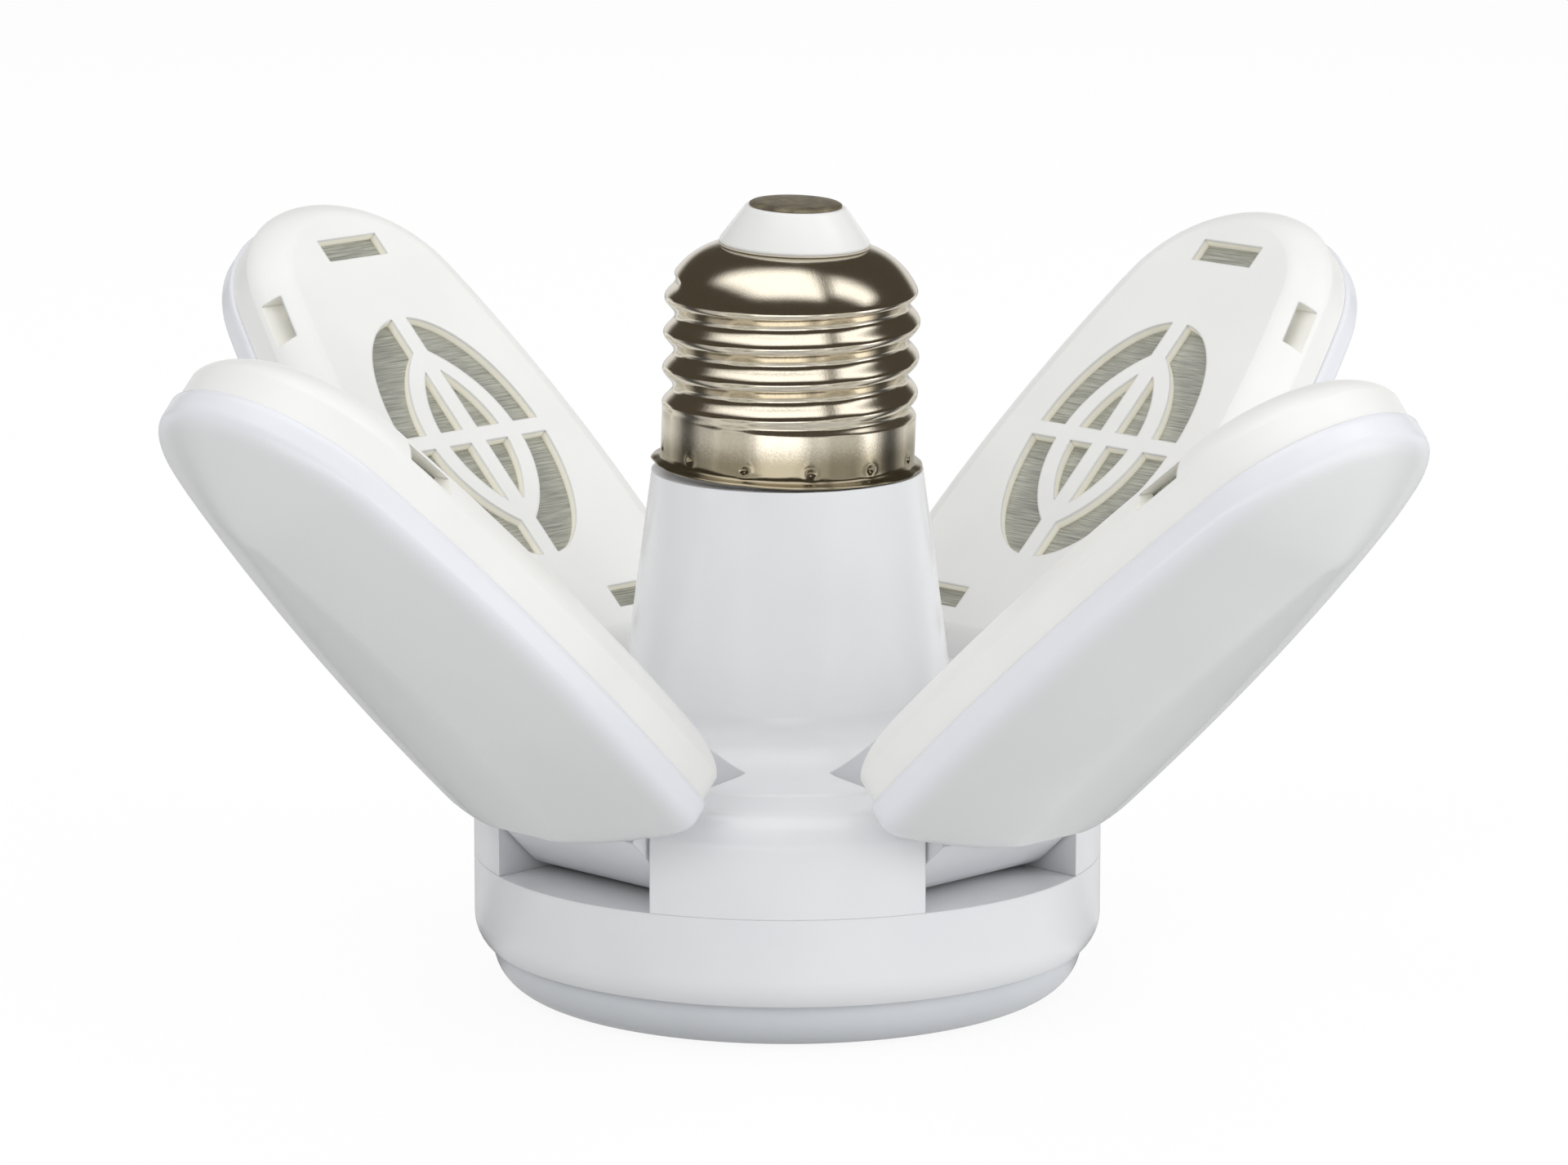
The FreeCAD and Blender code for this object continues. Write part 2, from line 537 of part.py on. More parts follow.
def slot_cuts():
    """The slots at the tip, beside the root and in both sloped sides."""
    low = size("shell_height - shell_top_wall - shell_inset")
    high = size("shell_height + shell_inset")
    start = size("blade_tip - tip_slot_margin")
    half = size("tip_slot_half_width")
    cuts = [box((start, -half, low), (start + size("tip_slot_length"), half, high))]
    root = size("blade_root + root_slot_margin")
    root_end = root + size("root_slot_length")
    side = size("blade_tip - side_slot_margin")
    side_end = side + size("side_slot_length")
    bow = size("blade_side_radius")
    middle = (side + side_end) / 2 - size("blade_root + blade_widest")
    rim = size("blade_half_width") - bow + math.sqrt(bow ** 2 - middle ** 2)
    floor = rim - size("shell_slope") / 2 - size("side_slot_depth")
    for sign in (-1, 1):
        near, far = sorted((sign * size("root_slot_inner"), sign * size("root_slot_outer")))
        cuts.append(box((root, near, low), (root_end, far, high)))
        near, far = sorted((sign * floor, sign * (rim + size("shell_wall"))))
        cuts.append(box((side, near, size("side_slot_low")), (side_end, far, size("side_slot_high"))))
    return cuts


def blade_shell():
    """The blade's back: a shallow tray with sloped shoulders, a grille, slots and the hinge knuckle."""
    step = size("shell_inset")
    side = size("shell_side")
    height = size("shell_height")
    slope = size("shell_slope")
    wires = []
    for share, rise in SHOULDER_SHARES:
        inset = step + share * slope
        wires.append(leaf(inset, inset, side + rise * (height - side)))
    body = slab(step, 0, side).fuse(Part.makeLoft(wires, True, False))
    half = size("slot_half_width - neck_gap")
    wall = size("shell_wall")
    ceiling = size("shell_height - shell_top_wall")
    root = size("blade_root")
    top = size("knuckle_top")
    neck = box((0, -half, 0), (root + step + wall, half, top))
    neck = neck.fuse(box((0, -half, -size("barrel_radius")), (root - step, half, 0)))
    neck = neck.fuse(cylinder_across(size("barrel_radius"), size("slot_half_width - barrel_end_gap")))
    hollow = slab(step + wall, 0, side - wall / 3).fuse(slab(step + wall * 2, 0, ceiling))
    body = body.fuse(neck).cut(hollow)
    bore = cylinder_across(size("pin_radius + pin_running_gap"), size("slot_half_width"))
    body = body.cut(grille_cut().fuse(slot_cuts())).cut(bore)
    return body.removeSplitter()


def blade_board():
    """The aluminium board that lies under the shell's face and shows through the grille."""
    ceiling = size("shell_height - shell_top_wall")
    inset = size("shell_inset + shell_wall * 2 + plate_gap")
    return slab(inset, ceiling - size("board_thickness"), ceiling)


def blade_leds():
    """Two rows of packages under the board."""
    low = size("shell_height - shell_top_wall - board_thickness - led_height")
    aside = size("blade_half_width - led_row_inset")
    first = size("blade_root + led_root_margin")
    last = size("blade_tip - led_tip_margin")
    chips = []
    for number in range(BLADE_LED_COUNT):
        x = first + (last - first) * number / (BLADE_LED_COUNT - 1)
        for side in (-1, 1):
            chips.append(led(x, side * aside, low, 90))
    return Part.makeCompound(chips)


def blades():
    shapes = {"back_shell": blade_shell(), "diffuser": milky_form(0).cut(milky_form(size("diffuser_wall"))),
              "led_board": blade_board(), "leds": blade_leds()}
    for name, angle in BLADES.items():
        around_axis = FreeCAD.Rotation(FreeCAD.Vector(0, 0, 1), angle)
        raised = FreeCAD.Rotation(FreeCAD.Vector(0, 1, 0), -size("tilt_" + name))
        hinge = around_axis.multVec(FreeCAD.Vector(size(HINGE), 0, size(RING_TOP + " + hinge_height")))
        for part, shape in shapes.items():
            feature = doc.addObject("Part::Feature", "%s_%s" % (name, part))
            feature.Shape = shape
            feature.Placement = FreeCAD.Placement(hinge, around_axis * raised)
            keep("%s_%s" % (name, part), feature)


base_light()
stem_and_posts()
hub_screws()
screw_cap()
driver()
blades()
doc.recompute()

for thing in doc.Objects:
    faults = [word for word in thing.State if word in ("Invalid", "Error")]
    if faults:
        raise RuntimeError("%s failed: %s" % (thing.Label, faults))
for node, thing in pieces.items():
    shape = thing.Shape
    if shape.isNull() or not shape.isValid():
        raise RuntimeError("%s has no valid shape" % node)

os.makedirs("parts", exist_ok=True)
for node, thing in pieces.items():
    thing.Shape.exportStep("parts/%s.step" % node)
    print("%-26s %d solid(s), %.1f mm3" % (node, len(thing.Shape.Solids), thing.Shape.Volume))
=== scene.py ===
# %% [markdown]
# This notebook dresses a screw-in lamp: a nickel screw cap on a tapered white stem, a round base
# light under it, and four light blades on hinges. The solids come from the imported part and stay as
# they are. What we add here is the camera, the light, the finishes, and the few pieces whose real
# shape is richer than their solid. We load the frame first, because everything is put round its
# solids.

# %% Load the frame
import math

import bmesh
import bpy
from mathutils import Matrix, Vector


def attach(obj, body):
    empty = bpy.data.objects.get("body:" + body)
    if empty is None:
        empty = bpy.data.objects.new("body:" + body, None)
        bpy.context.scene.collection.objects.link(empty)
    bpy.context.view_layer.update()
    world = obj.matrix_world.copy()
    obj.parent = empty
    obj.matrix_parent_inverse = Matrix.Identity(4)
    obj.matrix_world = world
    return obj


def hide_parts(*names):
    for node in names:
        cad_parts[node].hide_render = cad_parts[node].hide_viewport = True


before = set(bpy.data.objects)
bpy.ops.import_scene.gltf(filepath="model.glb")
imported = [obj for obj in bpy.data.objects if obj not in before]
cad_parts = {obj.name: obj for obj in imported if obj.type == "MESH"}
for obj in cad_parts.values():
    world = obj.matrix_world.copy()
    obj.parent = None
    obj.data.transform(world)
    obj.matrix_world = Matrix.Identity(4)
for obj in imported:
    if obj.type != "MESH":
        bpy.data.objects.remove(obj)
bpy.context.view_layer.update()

# %% [markdown]
# The photograph was taken with a long lens, nearly level. A long lens keeps the four blades the same
# size although two of them are further away. We place the camera at a distance from the top of the
# ring, and tip it so that the lamp sits where it does in the picture.

# %% Camera
MM = 0.001
RING_TOP = 14.2 * MM
CAMERA_DISTANCE = 0.78
CAMERA_RISE = math.radians(13.4)
CAMERA_PITCH = math.radians(11.4)
CAMERA_LEFT = 0.35 * MM
SENSOR_WIDTH = 36
FOCAL_LENGTH = 172.8
NEAREST_SEEN = 0.05

camera_data = bpy.data.cameras.new("camera")
camera_data.sensor_width = SENSOR_WIDTH
camera_data.lens = FOCAL_LENGTH
camera_data.clip_start = NEAREST_SEEN
camera = bpy.data.objects.new("camera", camera_data)
bpy.context.scene.collection.objects.link(camera)
camera.location = (-CAMERA_LEFT, -CAMERA_DISTANCE * math.cos(CAMERA_RISE),
                   RING_TOP + CAMERA_DISTANCE * math.sin(CAMERA_RISE))
camera.rotation_euler = (math.pi / 2 - CAMERA_PITCH, 0, 0)
bpy.context.scene.camera = camera
bpy.context.scene.view_settings.view_transform = "Standard"
print("camera height:", round(camera.location.z, 4))

# %% [markdown]
# The backdrop is pure white. A white world would also flood the lamp with light, so the world is
# white only for rays that the camera sees, directly or in a mirror, and a plain grey for the rest.

# %% World
WORLD_FILL = 0.54
WHITE = (1.0, 1.0, 1.0, 1.0)


def wire(tree, start, end):
    """Joins an output socket to an input socket."""
    tree.links.new(start, end)


def arithmetic(tree, operation, *values):
    """A Math node. A value is a number or an output socket."""
    node = tree.nodes.new("ShaderNodeMath")
    node.operation = operation
    for index, value in enumerate(values):
        if isinstance(value, (int, float)):
            node.inputs[index].default_value = value
        else:
            wire(tree, value, node.inputs[index])
    return node.outputs[0]


def mirror_ray(tree, path):
    """1 for rays that a mirror or glass passes on, else 0, from a Light Path node."""
    glossy = path.outputs["Is Glossy Ray"]
    return arithmetic(tree, "MAXIMUM", glossy, path.outputs["Is Transmission Ray"])


def background(tree, strength):
    """A white Background shader."""
    node = tree.nodes.new("ShaderNodeBackground")
    node.inputs["Color"].default_value = WHITE
    node.inputs["Strength"].default_value = strength
    return node.outputs[0]


def mix_shaders(tree, share, first, second):
    """A shader between two others, by a share."""
    node = tree.nodes.new("ShaderNodeMixShader")
    for index, socket in enumerate((share, first, second)):
        wire(tree, socket, node.inputs[index])
    return node.outputs[0]


world = bpy.data.worlds.new("studio")
bpy.context.scene.world = world
world.use_nodes = True
tree = world.node_tree
tree.nodes.clear()
path = tree.nodes.new("ShaderNodeLightPath")
seen = arithmetic(tree, "MAXIMUM", path.outputs["Is Camera Ray"], mirror_ray(tree, path))
light = mix_shaders(tree, seen, background(tree, WORLD_FILL), background(tree, 1.0))
out = tree.nodes.new("ShaderNodeOutputWorld")
wire(tree, light, out.inputs["Surface"])
print("world fill:", WORLD_FILL)

# %% [markdown]
# Large soft boxes round the lamp light it. Their own shapes are not what the metal mirrors, because
# the next step paints that apart, so they are hidden from reflections. An area lamp's level on a
# surface is its power over (pi x distance) squared.

# %% Soft boxes
LAMP_MIDDLE = Vector((0, 0, 0.045))

# Azimuth and elevation in degrees, then distance, width and height in metres, then level.
SOFT_BOXES = {
    "left_box": (-38, 38, 0.85, 0.80, 0.50, 0.28),
    "right_box": (48, 38, 0.85, 0.80, 0.50, 0.12),
    "top_box": (0, 89, 0.95, 0.90, 0.90, 0.20),
    "low_right_box": (75, 12, 0.85, 0.80, 0.40, 0.33),
    "back_box": (180, 45, 0.85, 0.80, 0.50, 0.19),
}


def soft_box(name, azimuth, elevation, distance, width, height, level):
    """An area lamp that looks at the lamp from an azimuth right of the camera and an elevation."""
    lamp = bpy.data.lights.new(name, "AREA")
    lamp.shape = "RECTANGLE"
    lamp.size = width
    lamp.size_y = height
    lamp.energy = level * (math.pi * distance) ** 2
    box = bpy.data.objects.new(name, lamp)
    bpy.context.scene.collection.objects.link(box)
    turn = math.radians(azimuth)
    lift = math.radians(elevation)
    away = Vector((math.sin(turn) * math.cos(lift), -math.cos(turn) * math.cos(lift), math.sin(lift)))
    box.location = LAMP_MIDDLE + away * distance
    box.rotation_euler = (-away).to_track_quat("-Z", "Y").to_euler()
    box.visible_glossy = False
    print(name, "level", level, "radiance", round(lamp.energy / (math.pi * width * height), 2))


for name, values in SOFT_BOXES.items():
    soft_box(name, *values)

# %% [markdown]
# Bright metal looks like metal because it mirrors a room that is dark between its lamps. So a large
# sphere round the lamp is shown to mirror rays alone. It is a dark warm cloth, with two bright
# panels overhead, left and right of a narrow gap. Low behind the lamp it opens to the white
# backdrop, which gives the cap its thin light rim. The panels are found by how far a spot lies aside
# of the zenith and behind it, for one unit of height.

# %% Mirrored room
ROOM_RADIUS = 1.6
LEAST_HEIGHT = 0.05
PANEL_LEVEL = 1.5
PANEL_SLANT = 0.4
PANEL_SOFTNESS = 0.20
LEFT_ASIDE = ((-1.05, -0.50), (0.15, 0.35))
LEFT_BEHIND = (-0.66, 0.30)
RIGHT_ASIDE = ((0.30, 0.50), (1.20, 1.90))
RIGHT_BEHIND = (-0.40, 0.12)
BACKDROP_LEVEL = 0.75
BACKDROP_START = (0.80, 0.92)
BACKDROP_TOP = (0.16, 0.34)
CLOTH_GLOW = (0.078, 0.066, 0.051, 1)


def rise(tree, value, low, high):
    """0 below low, 1 above high, and smooth between."""
    node = tree.nodes.new("ShaderNodeMapRange")
    node.interpolation_type = "SMOOTHSTEP"
    node.inputs["From Min"].default_value = low
    node.inputs["From Max"].default_value = high
    wire(tree, value, node.inputs["Value"])
    return node.outputs["Result"]


def band(tree, value, low, high, soft):
    """1 between two limits, with soft edges."""
    return arithmetic(tree, "SUBTRACT", rise(tree, value, low - soft, low + soft),
                      rise(tree, value, high - soft, high + soft))


def split(tree, vector):
    """A vector's three parts, as sockets."""
    parts = tree.nodes.new("ShaderNodeSeparateXYZ")
    wire(tree, vector, parts.inputs[0])
    return parts.outputs


def axes_of(tree):
    """The place on an object in metres, as three sockets."""
    return split(tree, tree.nodes.new("ShaderNodeTexCoord").outputs["Object"])


def blank_material(name):
    """A new material with an empty tree."""
    made = bpy.data.materials.new(name)
    made.use_nodes = True
    made.node_tree.nodes.clear()
    return made, made.node_tree


def glowing(tree, strength):
    """A white Emission shader, its strength from a socket."""
    node = tree.nodes.new("ShaderNodeEmission")
    node.inputs["Color"].default_value = WHITE
    wire(tree, strength, node.inputs["Strength"])
    return node.outputs[0]


def add_object(name, bm, finish):
    """A new object from a bmesh, with one material."""
    mesh = bpy.data.meshes.new(name)
    bm.to_mesh(mesh)
    bm.free()
    mesh.materials.append(finish)
    made = bpy.data.objects.new(name, mesh)
    bpy.context.scene.collection.objects.link(made)
    return made


def panel(tree, aside, behind, aside_edges, behind_limits):
    """1 on a panel overhead, by its two soft edges aside and its limits in front and behind."""
    start, stop = aside_edges
    width = arithmetic(tree, "SUBTRACT", rise(tree, aside, *start), rise(tree, aside, *stop))
    return arithmetic(tree, "MULTIPLY", width, band(tree, behind, *behind_limits, PANEL_SOFTNESS))


cloth, tree = blank_material("dark_cloth")
x, y, z = axes_of(tree)
height = arithmetic(tree, "MAXIMUM", z, LEAST_HEIGHT)
behind = arithmetic(tree, "DIVIDE", y, height)
slant = arithmetic(tree, "MULTIPLY", behind, PANEL_SLANT)
aside = arithmetic(tree, "ADD", arithmetic(tree, "DIVIDE", x, height), slant)
left_panel = panel(tree, aside, behind, LEFT_ASIDE, LEFT_BEHIND)
right_panel = panel(tree, aside, behind, RIGHT_ASIDE, RIGHT_BEHIND)
panels = arithmetic(tree, "MULTIPLY", arithmetic(tree, "ADD", left_panel, right_panel), PANEL_LEVEL)
far_back = rise(tree, arithmetic(tree, "DIVIDE", y, ROOM_RADIUS), *BACKDROP_START)
above = rise(tree, arithmetic(tree, "DIVIDE", z, ROOM_RADIUS), *BACKDROP_TOP)
below = arithmetic(tree, "MULTIPLY_ADD", above, -BACKDROP_LEVEL, BACKDROP_LEVEL)
backdrop = arithmetic(tree, "MULTIPLY", far_back, below)
cloth_glow = tree.nodes.new("ShaderNodeEmission")
cloth_glow.inputs["Color"].default_value = CLOTH_GLOW
both = tree.nodes.new("ShaderNodeAddShader")
wire(tree, glowing(tree, arithmetic(tree, "MAXIMUM", panels, backdrop)), both.inputs[0])
wire(tree, cloth_glow.outputs[0], both.inputs[1])
out = tree.nodes.new("ShaderNodeOutputMaterial")
wire(tree, both.outputs[0], out.inputs["Surface"])

bm = bmesh.new()
bmesh.ops.create_uvsphere(bm, u_segments=64, v_segments=32, radius=ROOM_RADIUS)
room = add_object("mirrored_room", bm, cloth)
for kind in ("camera", "diffuse", "transmission", "volume_scatter", "shadow"):
    setattr(room, "visible_" + kind, False)
print("mirrored room faces:", len(room.data.polygons))

# %% [markdown]
# The table is the same white as the backdrop. For the camera most of its brightness is a glow, and
# the rest is lit, so the lamp keeps a faint soft shadow. In the mirror of the cap the table is a mid
# tone, a little brighter on the right. Further out lie two bright patches, left and right of the
# front, and at both sides, where the sheet ends, it is dark.

# %% Table
TABLE_HALF = 3.0
TABLE_DROP = 0.05 * MM
TABLE_GLOW = 0.90
TABLE_WHITE = 1.02
PAPER_WHITE = (0.80, 0.80, 0.80, 1)
MIRRORED_TONE = 0.58
MIRRORED_RIGHT = 0.08
MIRRORED_PATCH = 1.30
MIRRORED_DARK = 0.85
PATCH_START = (0.15, 0.22)

# Turns right of the front, in radians: from, to, softness.
RIGHT_TURNS = (0.45, 1.60, 0.30)
LEFT_PATCH = (-0.84, 0.27, 0.14)
RIGHT_PATCH = (0.50, 1.45, 0.14)
SHEET_END = (1.60, 2.00, 0.12)


def turn_of(tree, x, y):
    """The turn right of the front, in radians."""
    return arithmetic(tree, "ARCTAN2", x, arithmetic(tree, "MULTIPLY", y, -1.0))


paper, tree = blank_material("table_white")
path = tree.nodes.new("ShaderNodeLightPath")
camera_ray = path.outputs["Is Camera Ray"]
x, y, z = axes_of(tree)
turn = turn_of(tree, x, y)
squares = arithmetic(tree, "MULTIPLY_ADD", x, x, arithmetic(tree, "MULTIPLY", y, y))
reach = arithmetic(tree, "SQRT", squares)
tone = arithmetic(tree, "MULTIPLY_ADD", band(tree, turn, *RIGHT_TURNS), MIRRORED_RIGHT, MIRRORED_TONE)
patches = arithmetic(tree, "ADD", band(tree, turn, *LEFT_PATCH), band(tree, turn, *RIGHT_PATCH))
patches = arithmetic(tree, "MULTIPLY", patches, rise(tree, reach, *PATCH_START))
tone = arithmetic(tree, "MULTIPLY_ADD", patches, MIRRORED_PATCH, tone)
ended = band(tree, arithmetic(tree, "ABSOLUTE", turn), *SHEET_END)
tone = arithmetic(tree, "MULTIPLY", tone, arithmetic(tree, "MULTIPLY_ADD", ended, -MIRRORED_DARK, 1.0))
unseen = arithmetic(tree, "MULTIPLY", tone, arithmetic(tree, "SUBTRACT", 1.0, camera_ray))
strength = arithmetic(tree, "MULTIPLY_ADD", camera_ray, TABLE_WHITE, unseen)
seen_glow = arithmetic(tree, "MULTIPLY", camera_ray, TABLE_GLOW)
share = arithmetic(tree, "MAXIMUM", seen_glow, mirror_ray(tree, path))
matt = tree.nodes.new("ShaderNodeBsdfDiffuse")
matt.inputs["Color"].default_value = PAPER_WHITE
out = tree.nodes.new("ShaderNodeOutputMaterial")
wire(tree, mix_shaders(tree, share, matt.outputs[0], glowing(tree, strength)), out.inputs["Surface"])

bm = bmesh.new()
bmesh.ops.create_grid(bm, x_segments=8, y_segments=8, size=TABLE_HALF)
table = add_object("table", bm, paper)
table.location.z = -TABLE_DROP
print("table glow:", TABLE_GLOW)

# %% [markdown]
# Moulded plastic is never one flat colour. Its skin has a fine grain from the mould and broad, very
# weak ripples where the melt cooled unevenly. Several finishes need this, so it is a node group: it
# takes a place and two sizes, and gives a mottle for the colour and a height for a Bump node.

# %% Moulded skin group
GRAIN_SHARE = 0.25


def group(name, inputs, outputs):
    """A new shader node group with named sockets. Inputs are (name, kind, value)."""
    made = bpy.data.node_groups.new(name, "ShaderNodeTree")
    for label, kind, value in inputs:
        socket = made.interface.new_socket(name=label, in_out="INPUT", socket_type=kind)
        if value is not None:
            socket.default_value = value
    for label, kind in outputs:
        made.interface.new_socket(name=label, in_out="OUTPUT", socket_type=kind)
    start = made.nodes.new("NodeGroupInput")
    end = made.nodes.new("NodeGroupOutput")
    return made, start, end


def noise(tree, vector, scale, detail, rough=0.5):
    """A noise texture's value at a vector. The scale is a number or a socket."""
    node = tree.nodes.new("ShaderNodeTexNoise")
    node.inputs["Detail"].default_value = detail
    node.inputs["Roughness"].default_value = rough
    wire(tree, vector, node.inputs["Vector"])
    if isinstance(scale, (int, float)):
        node.inputs["Scale"].default_value = scale
    else:
        wire(tree, scale, node.inputs["Scale"])
    return node.outputs["Fac"]


moulded_skin, start, end = group(
    "Moulded skin",
    [("Vector", "NodeSocketVector", None), ("Grain per mm", "NodeSocketFloat", 4.0),
     ("Ripple per mm", "NodeSocketFloat", 0.12)],
    [("Mottle", "NodeSocketFloat"), ("Height", "NodeSocketFloat")])
grain = noise(moulded_skin, start.outputs["Vector"], start.outputs["Grain per mm"], 3.0)
ripple = noise(moulded_skin, start.outputs["Vector"], start.outputs["Ripple per mm"], 1.0)
fine = arithmetic(moulded_skin, "MULTIPLY", grain, GRAIN_SHARE)
broad = arithmetic(moulded_skin, "MULTIPLY", ripple, 1 - GRAIN_SHARE)
wire(moulded_skin, arithmetic(moulded_skin, "ADD", fine, broad), end.inputs["Height"])
wire(moulded_skin, ripple, end.inputs["Mottle"])
print("group:", moulded_skin.name)

# %% [markdown]
# Handling leaves faint smears, which change how sharply a glossy surface mirrors more than its
# colour. This group gives a smear mask: a cloudy noise, less a cover that says how much stays clean,
# with its edges made steeper.

# %% Smears group
SMEAR_STEEPNESS = 2.5

smears, start, end = group(
    "Smears",
    [("Vector", "NodeSocketVector", None), ("Per mm", "NodeSocketFloat", 0.15),
     ("Cover", "NodeSocketFloat", 0.5)],
    [("Smear", "NodeSocketFloat")])
cloud = noise(smears, start.outputs["Vector"], start.outputs["Per mm"], 5.0, 0.65)
low = arithmetic(smears, "SUBTRACT", cloud, start.outputs["Cover"])
clamp = smears.nodes.new("ShaderNodeClamp")
wire(smears, arithmetic(smears, "MULTIPLY", low, SMEAR_STEEPNESS), clamp.inputs["Value"])
wire(smears, clamp.outputs[0], end.inputs["Smear"])
print("group:", smears.name)

# %% [markdown]
# Rolled sheet has straight lines in one direction. Noise that is stretched long along two axes and
# kept fine on the first gives them. The group takes a vector in millimetres whose first axis runs
# across the lines.

# %% Rolled lines group
LINE_STRETCH = 0.03

rolled_lines, start, end = group(
    "Rolled lines",
    [("Vector", "NodeSocketVector", None), ("Lines per mm", "NodeSocketFloat", 5.0)],
    [("Lines", "NodeSocketFloat")])
stretch = rolled_lines.nodes.new("ShaderNodeVectorMath")
stretch.operation = "MULTIPLY"
stretch.inputs[1].default_value = (1.0, LINE_STRETCH, LINE_STRETCH)
wire(rolled_lines, start.outputs["Vector"], stretch.inputs[0])
wire(rolled_lines, noise(rolled_lines, stretch.outputs[0], start.outputs["Lines per mm"], 4.0, 0.7),
     end.inputs["Lines"])
print("group:", rolled_lines.name)

# %% [markdown]
# A few small helpers keep the finishes short: a new material with its shader, a place in
# millimetres, a soft edge, and a colour that drifts between two tones by a mask. The soft edge is
# the Bevel node: it bends the shading near a sharp edge, as the small round of a real moulding does.

# %% Material helpers
SHADER = "Principled BSDF"
BEVEL_SAMPLES = 6


def linear(red, green, blue):
    """A screen colour of 0 to 255 as the linear colour that a shader takes."""
    tones = []
    for value in (red, green, blue):
        share = value / 255
        tones.append(share / 12.92 if share <= 0.04045 else ((share + 0.055) / 1.055) ** 2.4)
    return (*tones, 1.0)


def material(name, roughness, metallic=0.0):
    """A new material, its tree and its shader."""
    made = bpy.data.materials.new(name)
    made.use_nodes = True
    shader = made.node_tree.nodes[SHADER]
    shader.inputs["Roughness"].default_value = roughness
    shader.inputs["Metallic"].default_value = metallic
    return made, made.node_tree, shader


def millimetres(tree, where=(0, 0, 0), turned=(0, 0, 0)):
    """The place on the piece in millimetres, seen from a point and turned as a piece is."""
    place = tree.nodes.new("ShaderNodeTexCoord")
    mapping = tree.nodes.new("ShaderNodeMapping")
    mapping.vector_type = "TEXTURE"
    mapping.inputs["Location"].default_value = where
    mapping.inputs["Rotation"].default_value = turned
    mapping.inputs["Scale"].default_value = (MM, MM, MM)
    wire(tree, place.outputs["Object"], mapping.inputs["Vector"])
    return mapping.outputs[0]


def placed(tree, kind, vector, **values):
    """One of the node groups, with its own values."""
    node = tree.nodes.new("ShaderNodeGroup")
    node.node_tree = kind
    wire(tree, vector, node.inputs["Vector"])
    for label, value in values.items():
        node.inputs[label.replace("_", " ")].default_value = value
    return node


def relief(tree, shader, height, depth, edge):
    """Bumps a shader by a height, over an edge rounded by a radius in millimetres, if any."""
    bump = tree.nodes.new("ShaderNodeBump")
    bump.inputs["Distance"].default_value = depth * MM
    wire(tree, height, bump.inputs["Height"])
    if edge:
        bevel = tree.nodes.new("ShaderNodeBevel")
        bevel.samples = BEVEL_SAMPLES
        bevel.inputs["Radius"].default_value = edge * MM
        wire(tree, bevel.outputs[0], bump.inputs["Normal"])
    wire(tree, bump.outputs[0], shader.inputs["Normal"])


def ramp(tree, factor, low, high, start, end):
    """A colour between two tones, as a factor goes from start to end."""
    node = tree.nodes.new("ShaderNodeValToRGB")
    node.color_ramp.elements[0].position = start
    node.color_ramp.elements[0].color = low
    node.color_ramp.elements[1].position = end
    node.color_ramp.elements[1].color = high
    wire(tree, factor, node.inputs["Fac"])
    return node.outputs["Color"]


def spread(tree, value, low, high):
    """A value of 0 to 1 spread over a range."""
    node = tree.nodes.new("ShaderNodeMapRange")
    node.inputs["To Min"].default_value = low
    node.inputs["To Max"].default_value = high
    wire(tree, value, node.inputs["Value"])
    return node.outputs["Result"]


def mixed(tree, share, first, second):
    """A colour between two others, by a share. A colour is a fixed one or a socket."""
    node = tree.nodes.new("ShaderNodeMix")
    node.data_type = "RGBA"
    wire(tree, share, node.inputs["Factor"])
    for index, colour in ((6, first), (7, second)):
        if isinstance(colour, tuple):
            node.inputs[index].default_value = colour
        else:
            wire(tree, colour, node.inputs[index])
    return node.outputs[2]


print("helpers ready")

# %% [markdown]
# The blades' backs and the insulating cone are a warm white plastic with a satin skin. The stem, the
# posts and the ring come from a glossier, slightly bluer white. Both use the moulded skin group.

# %% White plastics
SMEARED_ROUGHER = 0.10


def plastic(name, pale, deep, roughness, depth, edge, per_mm, where=(0, 0, 0), turned=(0, 0, 0)):
    """A moulded plastic that drifts between two tones, with a relief, a soft edge and a grain."""
    made, tree, shader = material(name, roughness)
    here = millimetres(tree, where, turned)
    skin = placed(tree, moulded_skin, here, Grain_per_mm=per_mm, Ripple_per_mm=0.09)
    smear = placed(tree, smears, here, Per_mm=0.08, Cover=0.52)
    wire(tree, ramp(tree, skin.outputs["Mottle"], deep, pale, 0.3, 0.7), shader.inputs["Base Color"])
    rough = spread(tree, smear.outputs["Smear"], roughness, roughness + SMEARED_ROUGHER)
    wire(tree, rough, shader.inputs["Roughness"])
    relief(tree, shader, skin.outputs["Height"], depth, edge)
    return made


hub_white = plastic("hub_white", pale=linear(234, 235, 237), deep=linear(230, 231, 234),
                    roughness=0.20, depth=0.012, edge=0.22, per_mm=1.2)
cone_white = plastic("cone_white", pale=linear(238, 238, 237), deep=linear(233, 233, 231),
                     roughness=0.24, depth=0.01, edge=0.3, per_mm=1.5)
print("plastics:", hub_white.name, cone_white.name)

# %% [markdown]
# Each blade has a frame of its own, which tilts with it: along the blade, across it and out of its
# back. In the finishes the Mapping node turns the place on the part into these directions.

# %% Blade frames
# Where each blade stands round the hub, and its tilt at rest, in degrees.
BLADES = {
    "front_left": (225, 44.0),
    "front_right": (315, 41.9),
    "back_left": (135, 43.4),
    "back_right": (45, 42.4),
}
HINGE_RADIAL = 23.0 * MM
HINGE_HEIGHT = RING_TOP + 5.5 * MM


def blade_frame(blade):
    """A blade's hinge point and its turn: X along the blade, Z out of its back."""
    angle, tilt = (math.radians(v) for v in BLADES[blade])
    hinge = Vector((HINGE_RADIAL * math.cos(angle), HINGE_RADIAL * math.sin(angle), HINGE_HEIGHT))
    turned = Matrix.Rotation(angle, 4, "Z") @ Matrix.Rotation(-tilt, 4, "Y")
    return hinge, turned


